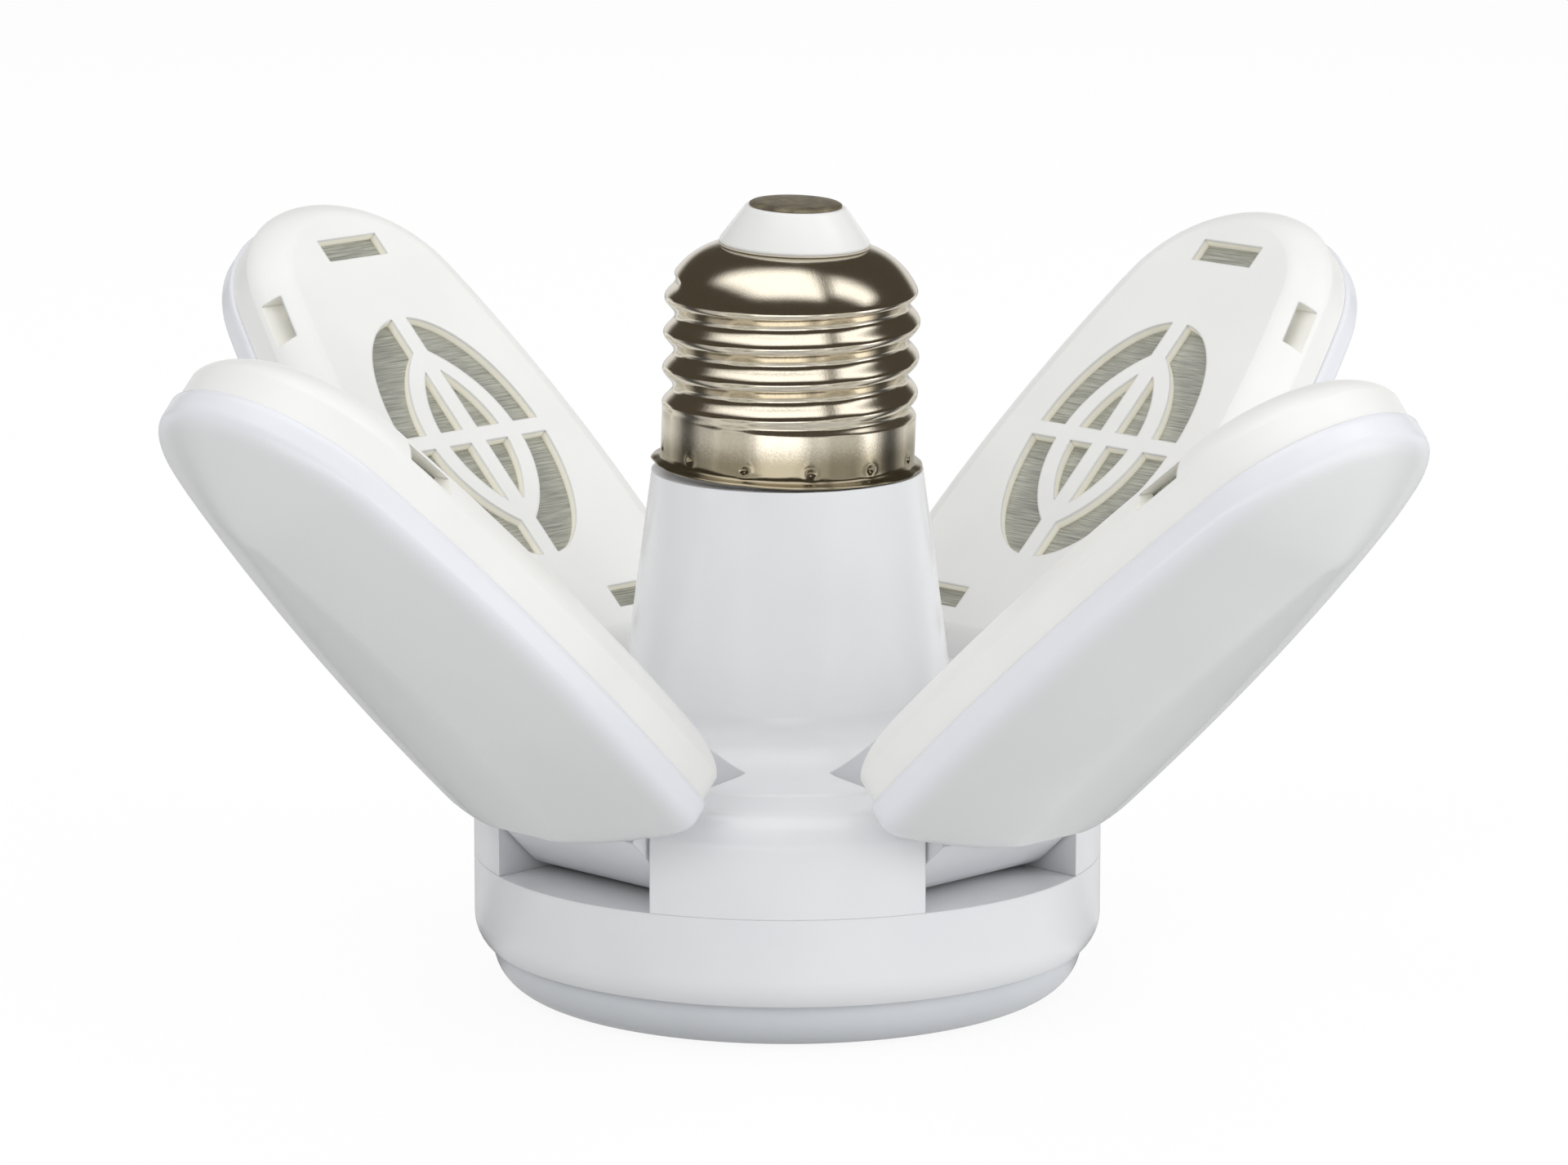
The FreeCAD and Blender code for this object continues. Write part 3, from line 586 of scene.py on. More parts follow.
def blade_place(blade):
    """A blade's frame as a Mapping node takes it: a location and three angles."""
    hinge, turned = blade_frame(blade)
    return hinge, turned.to_euler()


for blade in BLADES:
    print(blade, "hinge", [round(v, 4) for v in blade_frame(blade)[0]])

# %% [markdown]
# A blade's back is a thin wall. The walls of its grille and its slots get painted light: a creamy,
# lighter colour and a faint glow, standing in for the light that comes through the thin wall and
# lifts the shade there. The openings are found in the blade's own frame. The neck by the hinge is as
# cool a white as the hub.

# %% Blade backs
SHELL_PALE = linear(241, 241, 239)
SHELL_DEEP = linear(237, 237, 235)
NECK_TONE = linear(229, 231, 234)
# Painted light: the creamy colour and the glow on the walls of the openings.
PAINTED_WALL_LIGHT = linear(236, 233, 220)
PAINTED_WALL_GLOW = 0.20
PAINTED_SIDE_WALL_SHARE = 0.35

# Places in the blade's frame, in millimetres. A reach is from, to and half a width.
NECK_END = 8.5
BACK_LEVEL = 6.3
SKIN_DEPTH = 0.3
GRILLE_REACH = (13.5, 61.5, 10.2)
TIP_SLOT_REACH = (61.5, 68.0, 4.5)
SIDE_SLOT_ALONG = (56.15, 61.65)
SIDE_SLOT_LEVELS = (3.66, 5.34)
OPENING_SOFTNESS = 0.05
SLOT_SOFTNESS = 0.02


def painted_light_walls(tree, here):
    """Where light is painted: 1 on the walls of the grille and the tip slot, less on those of the side
    slots, else 0.
    """
    along, across, level = split(tree, here)
    across = arithmetic(tree, "ABSOLUTE", across)
    deep = arithmetic(tree, "LESS_THAN", level, BACK_LEVEL - SKIN_DEPTH)
    found = []
    for low, high, half in (GRILLE_REACH, TIP_SLOT_REACH):
        patch = arithmetic(tree, "MULTIPLY", band(tree, along, low, high, OPENING_SOFTNESS),
                           arithmetic(tree, "LESS_THAN", across, half))
        found.append(arithmetic(tree, "MULTIPLY", patch, deep))
    side = arithmetic(tree, "MULTIPLY", band(tree, along, *SIDE_SLOT_ALONG, SLOT_SOFTNESS),
                      band(tree, level, *SIDE_SLOT_LEVELS, SLOT_SOFTNESS))
    return arithmetic(tree, "MULTIPLY_ADD", side, PAINTED_SIDE_WALL_SHARE, arithmetic(tree, "MAXIMUM", *found))


def shell_white(blade):
    """The white of one blade's back, with painted light on the walls of its openings."""
    where, turned = blade_place(blade)
    made = plastic(blade + "_shell_white", SHELL_PALE, SHELL_DEEP, roughness=0.36, depth=0.02,
                   edge=0.35, per_mm=2.5, where=where, turned=turned)
    tree = made.node_tree
    shader = tree.nodes[SHADER]
    here = millimetres(tree, where, turned)
    painted_wall_mask = painted_light_walls(tree, here)
    neck = arithmetic(tree, "LESS_THAN", split(tree, here)["X"], NECK_END)
    skin = shader.inputs["Base Color"].links[0].from_socket
    # On the walls of the openings the colour turns creamy and lighter: painted light.
    tone = mixed(tree, neck, mixed(tree, painted_wall_mask, skin, PAINTED_WALL_LIGHT), NECK_TONE)
    wire(tree, tone, shader.inputs["Base Color"])
    # The walls of the openings glow though they are no lamp: painted light.
    shader.inputs["Emission Color"].default_value = PAINTED_WALL_LIGHT
    wire(tree, arithmetic(tree, "MULTIPLY", painted_wall_mask, PAINTED_WALL_GLOW), shader.inputs["Emission Strength"])
    return made


blade_white = {blade: shell_white(blade) for blade in BLADES}
print("blade backs:", len(blade_white))

# %% [markdown]
# The diffusers are milky. Their rim is painted a little brighter and bluer than the face: painted
# light, for the light that the rim lets in edge on. Each blade gets its own copy of this finish,
# because the painted rim is found by the depth below the joint line, which runs along the blade and
# tilts with it.

# %% Milky diffusers
MILKY_PALE = linear(224, 225, 225)
MILKY_DEEP = linear(220, 221, 221)
# Painted light: the rim's colour, and the depths below the joint line over which it fades in.
PAINTED_RIM_LIGHT = linear(231, 233, 238)
PAINTED_RIM_FADE = (-4.2, -2.4)


def milky(blade):
    """The milky plastic of one blade, with painted light making it paler towards its rim."""
    made, tree, shader = material(blade + "_milky", 0.24)
    here = millimetres(tree, *blade_place(blade))
    # Near the joint line the colour turns to the rim's: painted light.
    painted_rim = rise(tree, split(tree, here)["Z"], *PAINTED_RIM_FADE)
    skin = placed(tree, moulded_skin, here, Grain_per_mm=0.9, Ripple_per_mm=0.06)
    face = ramp(tree, skin.outputs["Mottle"], MILKY_DEEP, MILKY_PALE, 0.3, 0.7)
    wire(tree, mixed(tree, painted_rim, face, PAINTED_RIM_LIGHT), shader.inputs["Base Color"])
    smear = placed(tree, smears, here, Per_mm=0.05, Cover=0.5)
    wire(tree, spread(tree, smear.outputs["Smear"], 0.24, 0.28), shader.inputs["Roughness"])
    relief(tree, shader, skin.outputs["Height"], 0.015, 0)
    return made


blade_milky = {blade: milky(blade) for blade in BLADES}
# The base cover's milky plastic is darker than the blade covers': painted shade, for its face that
# turns down under the lamp.
base_milky_painted_shade = plastic("base_milky_painted_shade", pale=linear(215, 218, 222), deep=linear(211, 214, 218),
                     roughness=0.22, depth=0.012, edge=0.2, per_mm=0.9)
print("milky finishes:", len(blade_milky) + 1)

# %% [markdown]
# Behind the grille of each blade lies the aluminium board. Its rolling lines run across the blade.
# They catch the light as bright and dark streaks, so they drive the colour, the roughness and a
# shallow relief together.

# %% Board aluminium
BOARD_PALE = linear(206, 207, 198)
BOARD_DEEP = linear(146, 147, 139)


def aluminium(name, where=(0, 0, 0), turned=(0, 0, 0)):
    """Rolled aluminium, its lines across the first axis of a frame."""
    made, tree, shader = material(name, 0.50, 0.5)
    here = millimetres(tree, where, turned)
    lines = placed(tree, rolled_lines, here, Lines_per_mm=6.0).outputs["Lines"]
    wire(tree, ramp(tree, lines, BOARD_DEEP, BOARD_PALE, 0.35, 0.65), shader.inputs["Base Color"])
    wire(tree, spread(tree, lines, 0.42, 0.60), shader.inputs["Roughness"])
    relief(tree, shader, lines, 0.02, 0)
    return made


blade_aluminium = {blade: aluminium(blade + "_aluminium", *blade_place(blade)) for blade in BLADES}
base_aluminium = aluminium("base_aluminium")
print("aluminium finishes:", len(blade_aluminium) + 1)

# %% [markdown]
# The cap is thin steel with a bright nickel plate that leans to champagne. It is almost a mirror, so
# its look is mostly what it mirrors. Fine drawing lines, specks and a few smears keep it from
# looking like chrome, and the skirt is duller than the thread. The lower skirt is darker too: a
# painted dark reflection in its colour, its edge frayed by the specks. The contact on top is a
# darker, duller metal that soldering has stained.

# %% Cap metals
NICKEL_PALE = linear(229, 221, 204)
NICKEL_DEEP = linear(221, 212, 194)
# The dark tone of the lower skirt is a painted dark reflection.
NICKEL_PAINTED_DARK = linear(164, 154, 132)
BRONZE_PALE = linear(158, 148, 124)
BRONZE_DEEP = linear(104, 95, 80)
SKIRT_GIRTH = 13.0
SKIRT_END = 60.3
PAINTED_DARK_FADE = (SKIRT_END - 3.2, SKIRT_END - 0.4)
DULL_FADE = (SKIRT_END - 1.0, SKIRT_END + 1.0)
SKIRT_DULLER = 0.07
SPECK_SHIFT = 1.6

nickel, tree, shader = material("nickel_plate", 0.12, 1.0)
here = millimetres(tree)
x, y, z = split(tree, here)
unrolled = tree.nodes.new("ShaderNodeCombineXYZ")
wire(tree, arithmetic(tree, "MULTIPLY", turn_of(tree, x, y), SKIRT_GIRTH), unrolled.inputs["X"])
wire(tree, z, unrolled.inputs["Y"])
lines = placed(tree, rolled_lines, unrolled.outputs[0], Lines_per_mm=2.6)
smear = placed(tree, smears, here, Per_mm=0.30, Cover=0.50)
speck = noise(tree, here, 5.0, 3.0, 0.6)
# Below the top of the skirt the colour turns darker: a painted dark reflection, its edge frayed by the
# specks.
above_painted_dark = rise(tree, arithmetic(tree, "MULTIPLY_ADD", speck, SPECK_SHIFT, z), *PAINTED_DARK_FADE)
bright = ramp(tree, speck, NICKEL_DEEP, NICKEL_PALE, 0.35, 0.65)
wire(tree, mixed(tree, above_painted_dark, NICKEL_PAINTED_DARK, bright), shader.inputs["Base Color"])
rough = spread(tree, smear.outputs["Smear"], 0.20, 0.26)
rough = arithmetic(tree, "MULTIPLY_ADD", rise(tree, z, *DULL_FADE), -SKIRT_DULLER, rough)
wire(tree, rough, shader.inputs["Roughness"])
drawn = arithmetic(tree, "MULTIPLY", lines.outputs["Lines"], 0.5)
relief(tree, shader, arithmetic(tree, "MULTIPLY_ADD", speck, 0.5, drawn), 0.009, 0)

bronze, tree, shader = material("contact_bronze", 0.45, 0.55)
stain = noise(tree, millimetres(tree), 0.8, 6.0, 0.65)
wire(tree, ramp(tree, stain, BRONZE_DEEP, BRONZE_PALE, 0.35, 0.68), shader.inputs["Base Color"])
wire(tree, spread(tree, stain, 0.30, 0.55), shader.inputs["Roughness"])
relief(tree, shader, stain, 0.06, 0.1)
print("metals:", nickel.name, bronze.name)

# %% [markdown]
# What is inside shows only through slots and from below, but each kind still gets its own finish:
# yellow phosphor packages, a green driver board, zinc on the screws and pins, black epoxy, and
# tinned wire.

# %% Inner finishes
# Pale and deep tone, roughness, metallic, grain per millimetre, relief in millimetres.
INNER = {
    "phosphor_yellow": ((240, 214, 96), (226, 192, 70), 0.45, 0.0, 3.0, 0.02),
    "zinc_plate": ((196, 197, 198), (170, 172, 175), 0.30, 1.0, 4.0, 0.01),
    "black_epoxy": ((38, 38, 40), (28, 28, 30), 0.50, 0.0, 5.0, 0.03),
    "tinned_wire": ((205, 190, 170), (186, 160, 132), 0.34, 1.0, 4.0, 0.01),
    "green_laminate": ((52, 110, 66), (38, 92, 54), 0.35, 0.0, 2.0, 0.02),
}
ROUGHNESS_DRIFT = 0.06


def simple(name, pale, deep, roughness, metallic, per_mm, depth):
    """A finish that drifts between two tones and two degrees of gloss."""
    made, tree, shader = material(name, roughness, metallic)
    skin = placed(tree, moulded_skin, millimetres(tree), Grain_per_mm=per_mm, Ripple_per_mm=per_mm / 8)
    mottle = skin.outputs["Mottle"]
    wire(tree, ramp(tree, mottle, linear(*deep), linear(*pale), 0.3, 0.7), shader.inputs["Base Color"])
    rough = spread(tree, mottle, roughness - ROUGHNESS_DRIFT, roughness + ROUGHNESS_DRIFT)
    wire(tree, rough, shader.inputs["Roughness"])
    relief(tree, shader, skin.outputs["Height"], depth, 0.1)
    return made


inner = {name: simple(name, *values) for name, values in INNER.items()}
print("inner finishes:", len(inner))

# %% [markdown]
# Now the finishes go onto the solids. A node keeps its mesh, only its material slots change.

# %% Dress the solids
FINISHES = {
    "base_ring": hub_white, "stem_housing": hub_white, "centre_diffuser": base_milky_painted_shade,
    "centre_led_board": base_aluminium, "centre_leds": inner["phosphor_yellow"],
    "hub_screws": inner["zinc_plate"], "screw_shell": nickel, "cap_insulator": cone_white,
    "centre_contact": bronze, "contact_lead": inner["tinned_wire"],
    "driver_board": inner["green_laminate"],
}
for node in ("capacitor", "inductor", "fuse_resistor", "rectifier", "driver_chip"):
    FINISHES[node] = inner["black_epoxy"]
for blade in BLADES:
    FINISHES[blade + "_hinge_pin"] = inner["zinc_plate"]
    FINISHES[blade + "_back_shell"] = blade_white[blade]
    FINISHES[blade + "_diffuser"] = blade_milky[blade]
    FINISHES[blade + "_led_board"] = blade_aluminium[blade]
    FINISHES[blade + "_leds"] = inner["phosphor_yellow"]
for node, finish in FINISHES.items():
    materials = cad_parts[node].data.materials
    materials.clear()
    materials.append(finish)
print("dressed:", len(FINISHES), "of", len(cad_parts))

# %% [markdown]
# The screw cap's thread is rolled into thin sheet, so it is a wave that climbs one pitch in each
# turn, with equal rounds for crest and valley. A solid of revolution can only have rings, so the cap
# is built here as a grid: one column for each angle, one row for each height, and a rule that gives
# the radius. The wave fades in above the smooth skirt, and after its last crest it runs out into the
# domed top: RUN_OUT says at which turns, and MELT how softly wave and dome meet. Lengths are in
# millimetres, and heights are over the cap's seat.

# %% Thread rule
LEAN_RIGHT = 1.8
LEAN_FRONT = 1.3
STEM_HEIGHT = 39.75
SEAT_GAP = 0.05
LIP_RADIUS = 13.9
THREAD_CREST = 13.12
THREAD_VALLEY = 12.0
THREAD_PITCH = 3.7
FIRST_CREST = 6.825
LAST_CREST = 3
RUN_OUT = (math.radians(-85), math.radians(-40))
SKIRT_RADIUS = 13.0
SKIRT_TOP = 5.9
THREAD_START = SKIRT_TOP - 0.6
THREAD_FULL = SKIRT_TOP + 0.8
THREAD_END = 18.85
DOME_BEND = 7.65
DOME_TOP = 22.7
DOME_HOLE = 7.3
MELT = 0.35

lift = LIP_RADIUS * math.sin(math.radians(math.hypot(LEAN_RIGHT, LEAN_FRONT)))
cap_place = (Matrix.Translation((0, 0, RING_TOP + (STEM_HEIGHT + lift + SEAT_GAP) * MM))
             @ Matrix.Rotation(math.radians(LEAN_FRONT), 4, "X")
             @ Matrix.Rotation(math.radians(LEAN_RIGHT), 4, "Y"))


def ease(value, start, end):
    """0 before start, 1 after end, and a smooth rise between."""
    share = min(max((value - start) / (end - start), 0.0), 1.0)
    return share * share * (3 - 2 * share)


def arc_centre(start, end, bend):
    """The centre of an arc of radius bend that bulges out between two (radius, height) points."""
    middle = ((start[0] + end[0]) / 2, (start[1] + end[1]) / 2)
    chord = math.dist(start, end)
    back = math.sqrt(bend ** 2 - chord ** 2 / 4) / chord
    return middle[0] - (end[1] - start[1]) * back, middle[1] + (end[0] - start[0]) * back


DOME_FOOT = ((THREAD_CREST + THREAD_VALLEY) / 2, THREAD_END)
DOME_CENTRE = arc_centre(DOME_FOOT, (DOME_HOLE, DOME_TOP), DOME_BEND)


def thread_radius(turn, height):
    """The outside radius at a turn right of the front, in radians, and a height."""
    turn = math.remainder(turn, 2 * math.pi)
    climb = (height - FIRST_CREST) / THREAD_PITCH - turn / (2 * math.pi)
    wave = 0.5 + 0.5 * math.cos(2 * math.pi * climb)
    if climb > LAST_CREST:
        run_out = 1.0 if climb > LAST_CREST + 1 else ease(turn, *RUN_OUT)
        wave += (1 - wave) * run_out
    threaded = THREAD_VALLEY + (THREAD_CREST - THREAD_VALLEY) * wave
    into = ease(height, THREAD_START, THREAD_FULL)
    rolled = SKIRT_RADIUS * (1 - into) + threaded * into
    inside = max(DOME_BEND ** 2 - (height - DOME_CENTRE[1]) ** 2, 0.0)
    domed = DOME_CENTRE[0] + math.sqrt(inside) if height > DOME_CENTRE[1] else rolled + MELT
    blend = max(MELT - abs(rolled - domed), 0.0) / MELT
    return min(rolled, domed) - blend ** 2 * MELT / 4


print("dome centre:", [round(v, 2) for v in DOME_CENTRE])
print("crest to crest across the front:", round(thread_radius(0, FIRST_CREST) * 2, 2), "mm")

# %% [markdown]
# Under the thread comes the skirt. Its foot is rolled out into a thin lip, which is a little uneven,
# and a punch has pressed twelve small dimples into it, each with a faint raised rim. The sheet's
# inside is a second, plainer run of rows, so that the cap has a real wall.

# %% Screw cap
CAP_COLUMNS = 360
CAP_CREASE = 55
SAME_PLACE = 0.0005 * MM
SHEET = 0.35
ROW_STEP = 0.12
WIDE_STEP = 0.4
FIRST_ROW = 1.15
DIMPLES_END = 2.2
DOME_START = THREAD_END + 1.6
DOME_ROWS = 14
DIMPLE_HEIGHT = 1.55
DIMPLE_WIDTH = 0.40
DIMPLE_DEPTH = 0.34
DIMPLE_RIM = 0.08
DIMPLE_RIM_REACH = 1.5
DIMPLE_FIRST = math.radians(10.2)
DIMPLE_EVERY = math.radians(30)
LIP_WAVER = 0.07
WAVER_END = (0.3, 1.4)
LIP_ROWS = [
    (SKIRT_RADIUS - 0.1, 0.0), (LIP_RADIUS - 0.20, 0.0), (LIP_RADIUS - 0.05, 0.05),
    (LIP_RADIUS, 0.14), (LIP_RADIUS - 0.06, 0.24), (LIP_RADIUS - 0.26, 0.34),
    (LIP_RADIUS - 0.56, 0.47), (SKIRT_RADIUS + 0.12, 0.64), (SKIRT_RADIUS, 0.90),
]
INSIDE_ROWS = [
    (DOME_HOLE, DOME_TOP - SHEET), (THREAD_VALLEY - 2.1, DOME_TOP - 1.9),
    (THREAD_VALLEY - SHEET, THREAD_END - SHEET), (THREAD_VALLEY - SHEET, SKIRT_TOP + 1.0),
    (SKIRT_RADIUS - SHEET, SKIRT_TOP - 0.9), (SKIRT_RADIUS - 0.6, 0.6),
]


def cap_rows():
    """(radius or None where the thread rule gives it, height) from the lip up to the hole."""
    rows = list(LIP_ROWS)
    height = FIRST_ROW
    while height < THREAD_START:
        rows.append((SKIRT_RADIUS, height))
        height += ROW_STEP if height < DIMPLES_END else WIDE_STEP
    height = THREAD_START
    while height < DOME_START:
        rows.append((None, height))
        height += ROW_STEP
    low = math.asin((height - DOME_CENTRE[1]) / DOME_BEND)
    high = math.asin((DOME_TOP - DOME_CENTRE[1]) / DOME_BEND)
    for step in range(DOME_ROWS + 1):
        angle = low + (high - low) * step / DOME_ROWS
        rows.append((DOME_CENTRE[0] + DOME_BEND * math.cos(angle),
                     DOME_CENTRE[1] + DOME_BEND * math.sin(angle)))
    return rows


def dimple(turn, height):
    """How far the wall is pressed in by the crimping punches, each with a faint raised rim."""
    number = round((turn - DIMPLE_FIRST) / DIMPLE_EVERY)
    aside = (turn - DIMPLE_FIRST - number * DIMPLE_EVERY) * SKIRT_RADIUS
    reach = (aside ** 2 + (height - DIMPLE_HEIGHT) ** 2) / DIMPLE_WIDTH ** 2
    pressed = DIMPLE_DEPTH * math.exp(-reach * 2)
    raised = DIMPLE_RIM * math.exp(-(math.sqrt(reach) - DIMPLE_RIM_REACH) ** 2 * 4)
    return pressed - raised


def lip_waver(turn, height):
    """The crimped lip is a little uneven round the edge, and even again up on the wall."""
    uneven = math.sin(7 * turn + 0.6) + 0.7 * math.sin(12 * turn + 2.1) + 0.5 * math.sin(23 * turn)
    return LIP_WAVER * uneven * (1 - ease(height, *WAVER_END))


def on_axis(turn, radius, height):
    """A point at a turn, a radius and a height on the cap's own axis, which leans."""
    return cap_place @ (Vector((math.sin(turn) * radius, -math.cos(turn) * radius, height)) * MM)


def cap_point(turn, radius, height):
    """A point of the cap, with its lip and its dimples."""
    if radius is None:
        radius = thread_radius(turn, height)
    uneven = lip_waver(turn, height) - dimple(turn, height)
    return on_axis(turn, radius + uneven, height)


def grid_piece(name, rings, closed, crease, finish):
    """A piece from rings of points. If it is closed, the last ring joins the first. If not, each
    end is a ring pressed flat, and points in one place become one."""
    bm = bmesh.new()
    grid = [[bm.verts.new(spot) for spot in ring] for ring in rings]
    followers = grid[1:] + grid[:1] if closed else grid[1:]
    for ring, follower in zip(grid, followers):
        for c in range(len(ring)):
            after = (c + 1) % len(ring)
            bm.faces.new((ring[c], ring[after], follower[after], follower[c]))
    if closed:
        bm.normal_update()
    else:
        bmesh.ops.remove_doubles(bm, verts=bm.verts, dist=SAME_PLACE)
        bmesh.ops.recalc_face_normals(bm, faces=bm.faces)
    for face in bm.faces:
        face.smooth = True
    for edge in bm.edges:
        if len(edge.link_faces) == 2 and edge.calc_face_angle() > math.radians(crease):
            edge.smooth = False
    piece = add_object(name, bm, finish)
    print(name, "faces:", len(piece.data.polygons))
    return piece


def cap_piece(name, rows, columns, point, crease, finish):
    """A closed piece of the cap: one ring of points for each row of values."""
    turns = [2 * math.pi * c / columns for c in range(columns)]
    rings = [[point(turn, *row) for turn in turns] for row in rows]
    piece = grid_piece(name, rings, closed=True, crease=crease, finish=finish)
    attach(piece, "root")
    return piece


cap = cap_piece("rolled_screw_cap", cap_rows() + INSIDE_ROWS, CAP_COLUMNS, cap_point, CAP_CREASE,
                nickel)
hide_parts("screw_shell")

# %% [markdown]
# The insulating cone is pressed up through the cap's hole. It ends in a small round at the top and
# sits on a thin lip of darker glass cement. A lathe profile with a few extra points gives the
# rounds, and the lip is a ring of its own.

# %% Cone and contact
LATHE_COLUMNS = 160
LATHE_CREASE = 40
CONE_FOOT = 20.4
CONE_TOP = DOME_TOP + 4.0
CONE_PROFILE = [
    (1.3, CONE_FOOT), (7.2, CONE_FOOT), (7.2, 22.75), (7.62, 22.85), (7.70, 23.02), (7.62, 23.25),
    (5.30, 26.45), (5.18, 26.62), (4.98, CONE_TOP), (1.3, CONE_TOP),
]
LIP_PROFILE = [(7.1, 22.55), (7.55, 22.60), (7.72, 22.70), (7.70, 22.84), (7.1, 22.86)]
CONTACT_PROFILE = [
    (0.001, 23.7), (1.2, 23.7), (1.2, CONE_TOP - 0.02), (4.62, CONE_TOP - 0.02),
    (4.76, CONE_TOP + 0.06), (4.74, CONE_TOP + 0.22), (4.5, CONE_TOP + 0.36),
    (3.6, CONE_TOP + 0.42), (2.2, CONE_TOP + 0.47), (0.001, CONE_TOP + 0.49),
]


def lathe(name, profile, finish):
    """A closed profile of (radius, height), turned about the cap's own axis."""
    return cap_piece(name, profile, LATHE_COLUMNS, on_axis, LATHE_CREASE, finish)


cement = plastic("glass_cement", pale=linear(214, 208, 196), deep=linear(198, 190, 174),
                 roughness=0.35, depth=0.02, edge=0.1, per_mm=3.0)
cone = lathe("insulating_cone", CONE_PROFILE, cone_white)
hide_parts("cap_insulator")
lathe("cement_lip", LIP_PROFILE, cement)
contact = lathe("contact_button", CONTACT_PROFILE, bronze)
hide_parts("centre_contact")

# %% [markdown]
# Each blade's milky cover has an upright rim that turns into a low crown in a soft round, and the
# crown rounds over to a nearly flat middle. The solid has a plain edge there, so the cover is built
# as a grid. One row is the blade's outline, made of a straight root, round corners, bowed sides and
# a round tip. Each next row is the same outline drawn in a little and set a little lower. The root
# is drawn in less than the sides are, by ROOT_SHARE, because the crown falls steeply there.

# %% Cover outline
BLADE_ROOT = 8.6
BLADE_TIP = 74.6
HALF_WIDTH = 19.6
WIDEST = 22.0
SIDE_BOW = 170.0
ROOT_CORNER = 3.0
ROOT_SHARE = 0.24
ROOT_STEPS = 6
CORNER_STEPS = 8
SIDE_STEPS = 40
TIP_STEPS = 18
TIP_REACH = BLADE_TIP - WIDEST
TIP_ROUND = ((TIP_REACH ** 2 + (HALF_WIDTH - SIDE_BOW) ** 2 - SIDE_BOW ** 2)
             / (2 * (TIP_REACH - SIDE_BOW)))


def arc_points(centre, radius, start, end, count):
    """Points on an arc between two angles, without its last point."""
    points = []
    for step in range(count):
        angle = start + (end - start) * step / count
        points.append((centre[0] + radius * math.cos(angle), centre[1] + radius * math.sin(angle)))
    return points


def angle_to(centre, spot):
    """The angle at which a spot is seen from a centre."""
    return math.atan2(spot[1] - centre[1], spot[0] - centre[0])


def cover_outline(inset):
    """Points once round the blade's outline, drawn in by an inset: root, a side, tip, a side."""
    bow = SIDE_BOW - inset
    half = HALF_WIDTH - inset
    root = BLADE_ROOT + inset * ROOT_SHARE
    side = (WIDEST, half - bow)
    corner_round = min(ROOT_CORNER, half / 3)
    drop = math.sqrt((bow - corner_round) ** 2 - (WIDEST - root - corner_round) ** 2)
    corner = (root + corner_round, side[1] + drop)
    tip = (BLADE_TIP - TIP_ROUND, 0.0)
    upper = [(root, corner[1] * step / ROOT_STEPS) for step in range(ROOT_STEPS)]
    upper += arc_points(corner, corner_round, math.pi, angle_to(side, corner), CORNER_STEPS)
    upper += arc_points(side, bow, angle_to(side, corner), angle_to(side, tip), SIDE_STEPS)
    upper += arc_points(tip, TIP_ROUND - inset, angle_to(side, tip), 0.0, TIP_STEPS)
    upper.append((tip[0] + TIP_ROUND - inset, 0.0))
    lower = [(u, -v) for u, v in reversed(upper[1:-1])]
    return upper + lower


print("outline points:", len(cover_outline(0.0)), "tip round:", round(TIP_ROUND, 2), "mm")

# %% [markdown]
# The rows start at the middle inside the cover, go out to its edge, round the rim and in again to
# the crown. So the cover has a wall, as the real one does.

# %% Milky covers
COVER_CREASE = 50
COVER_WALL = 1.5
EDGE_ROUND = 0.12
RIM_DEPTH = 2.9
RIM_NARROWING = 0.1
RIM_SOFTNESS = 1.5
CROWN_DEPTH = 8.7
CROWN_POWER = 1.5
CROWN_INSET = TIP_ROUND - 1.1
INSIDE_STEPS = 8
TURN_STEPS = 8
CROWN_STEPS = 26

# Places on the rim, as (inset, depth): on its upright side, and where its round begins.
RIM_SIDE = (0.03, 0.7)
ROUND_START = (0.05, RIM_DEPTH - RIM_SOFTNESS * 0.6)


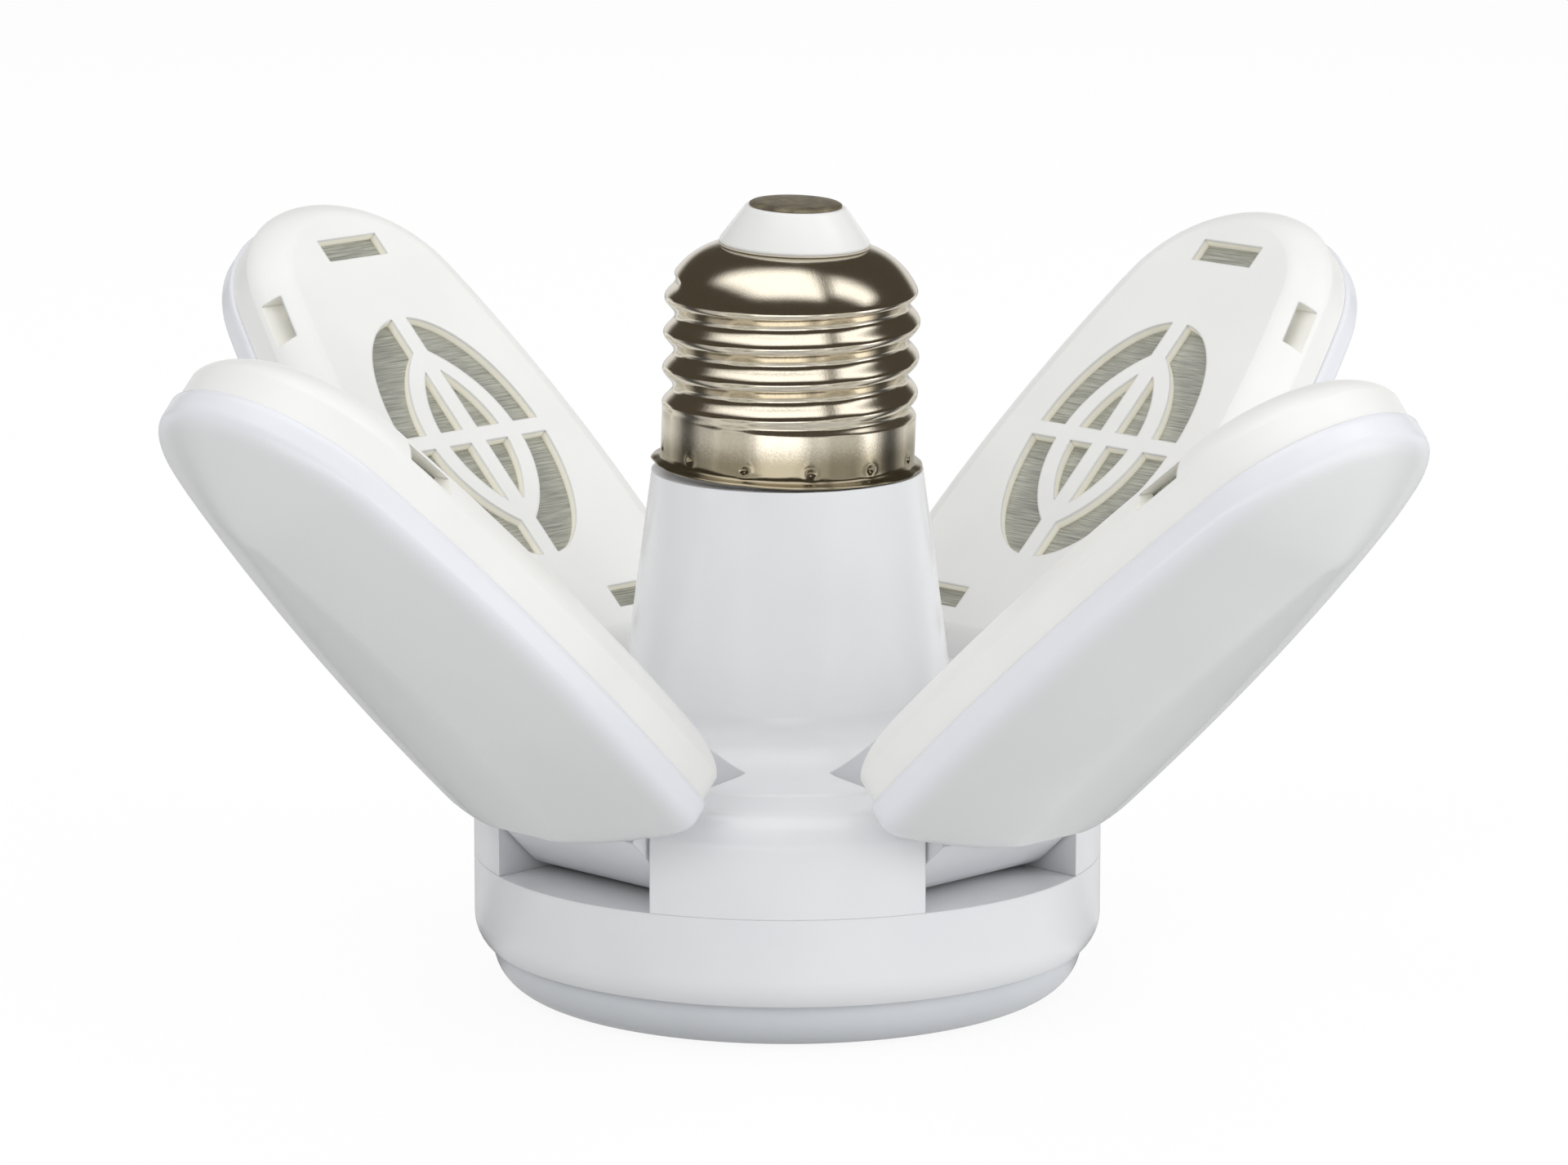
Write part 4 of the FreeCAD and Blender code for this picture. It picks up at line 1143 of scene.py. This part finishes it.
def cover_depth(inset):
    """How deep the crown lies under the joint line, at an inset from the outline."""
    share = min(max((inset - RIM_NARROWING) / (CROWN_INSET - RIM_NARROWING), 0.0), 1.0)
    return RIM_DEPTH + (CROWN_DEPTH - RIM_DEPTH) * (1 - (1 - share) ** CROWN_POWER)


def cover_rows():
    """(inset, depth, how much of its width is left) from inside, round the rim, to the crown."""
    rows = [(CROWN_INSET, CROWN_DEPTH - COVER_WALL, 0.0)]
    for step in range(INSIDE_STEPS, -1, -1):
        share = step / INSIDE_STEPS
        inset = CROWN_INSET * share
        rows.append((inset + COVER_WALL * (1 - share), cover_depth(inset) - COVER_WALL, 1.0))
    rows += [(COVER_WALL, 0.0, 1.0), (EDGE_ROUND, 0.0, 1.0), (0.0, EDGE_ROUND, 1.0), (*RIM_SIDE, 1.0)]
    round_end = (RIM_NARROWING + RIM_SOFTNESS, cover_depth(RIM_NARROWING + RIM_SOFTNESS))
    for step in range(TURN_STEPS + 1):
        t = step / TURN_STEPS
        edge = [(1 - t) ** 2 * a + 2 * t * (1 - t) * b + t * t * c
                for a, b, c in zip(ROUND_START, (RIM_NARROWING, RIM_DEPTH), round_end)]
        rows.append((*edge, 1.0))
    for step in range(1, CROWN_STEPS + 1):
        inset = round_end[0] + (CROWN_INSET - round_end[0]) * step / CROWN_STEPS
        rows.append((inset, cover_depth(inset), 1.0))
    rows += [(CROWN_INSET, CROWN_DEPTH, 0.5), (CROWN_INSET, CROWN_DEPTH, 0.0)]
    return rows


def milky_cover(blade):
    """One blade's cover, which shows in place of its solid and tilts with the blade."""
    hinge, turned = blade_frame(blade)
    rings = []
    for inset, depth, width in cover_rows():
        spots = [Vector((u, v * width, -depth)) * MM for u, v in cover_outline(inset)]
        rings.append([hinge + turned @ spot for spot in spots])
    cover = grid_piece(blade + "_milky_cover", rings, closed=False, crease=COVER_CREASE,
                       finish=blade_milky[blade])
    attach(cover, blade + "_blade")
    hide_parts(blade + "_diffuser")


for blade in BLADES:
    milky_cover(blade)
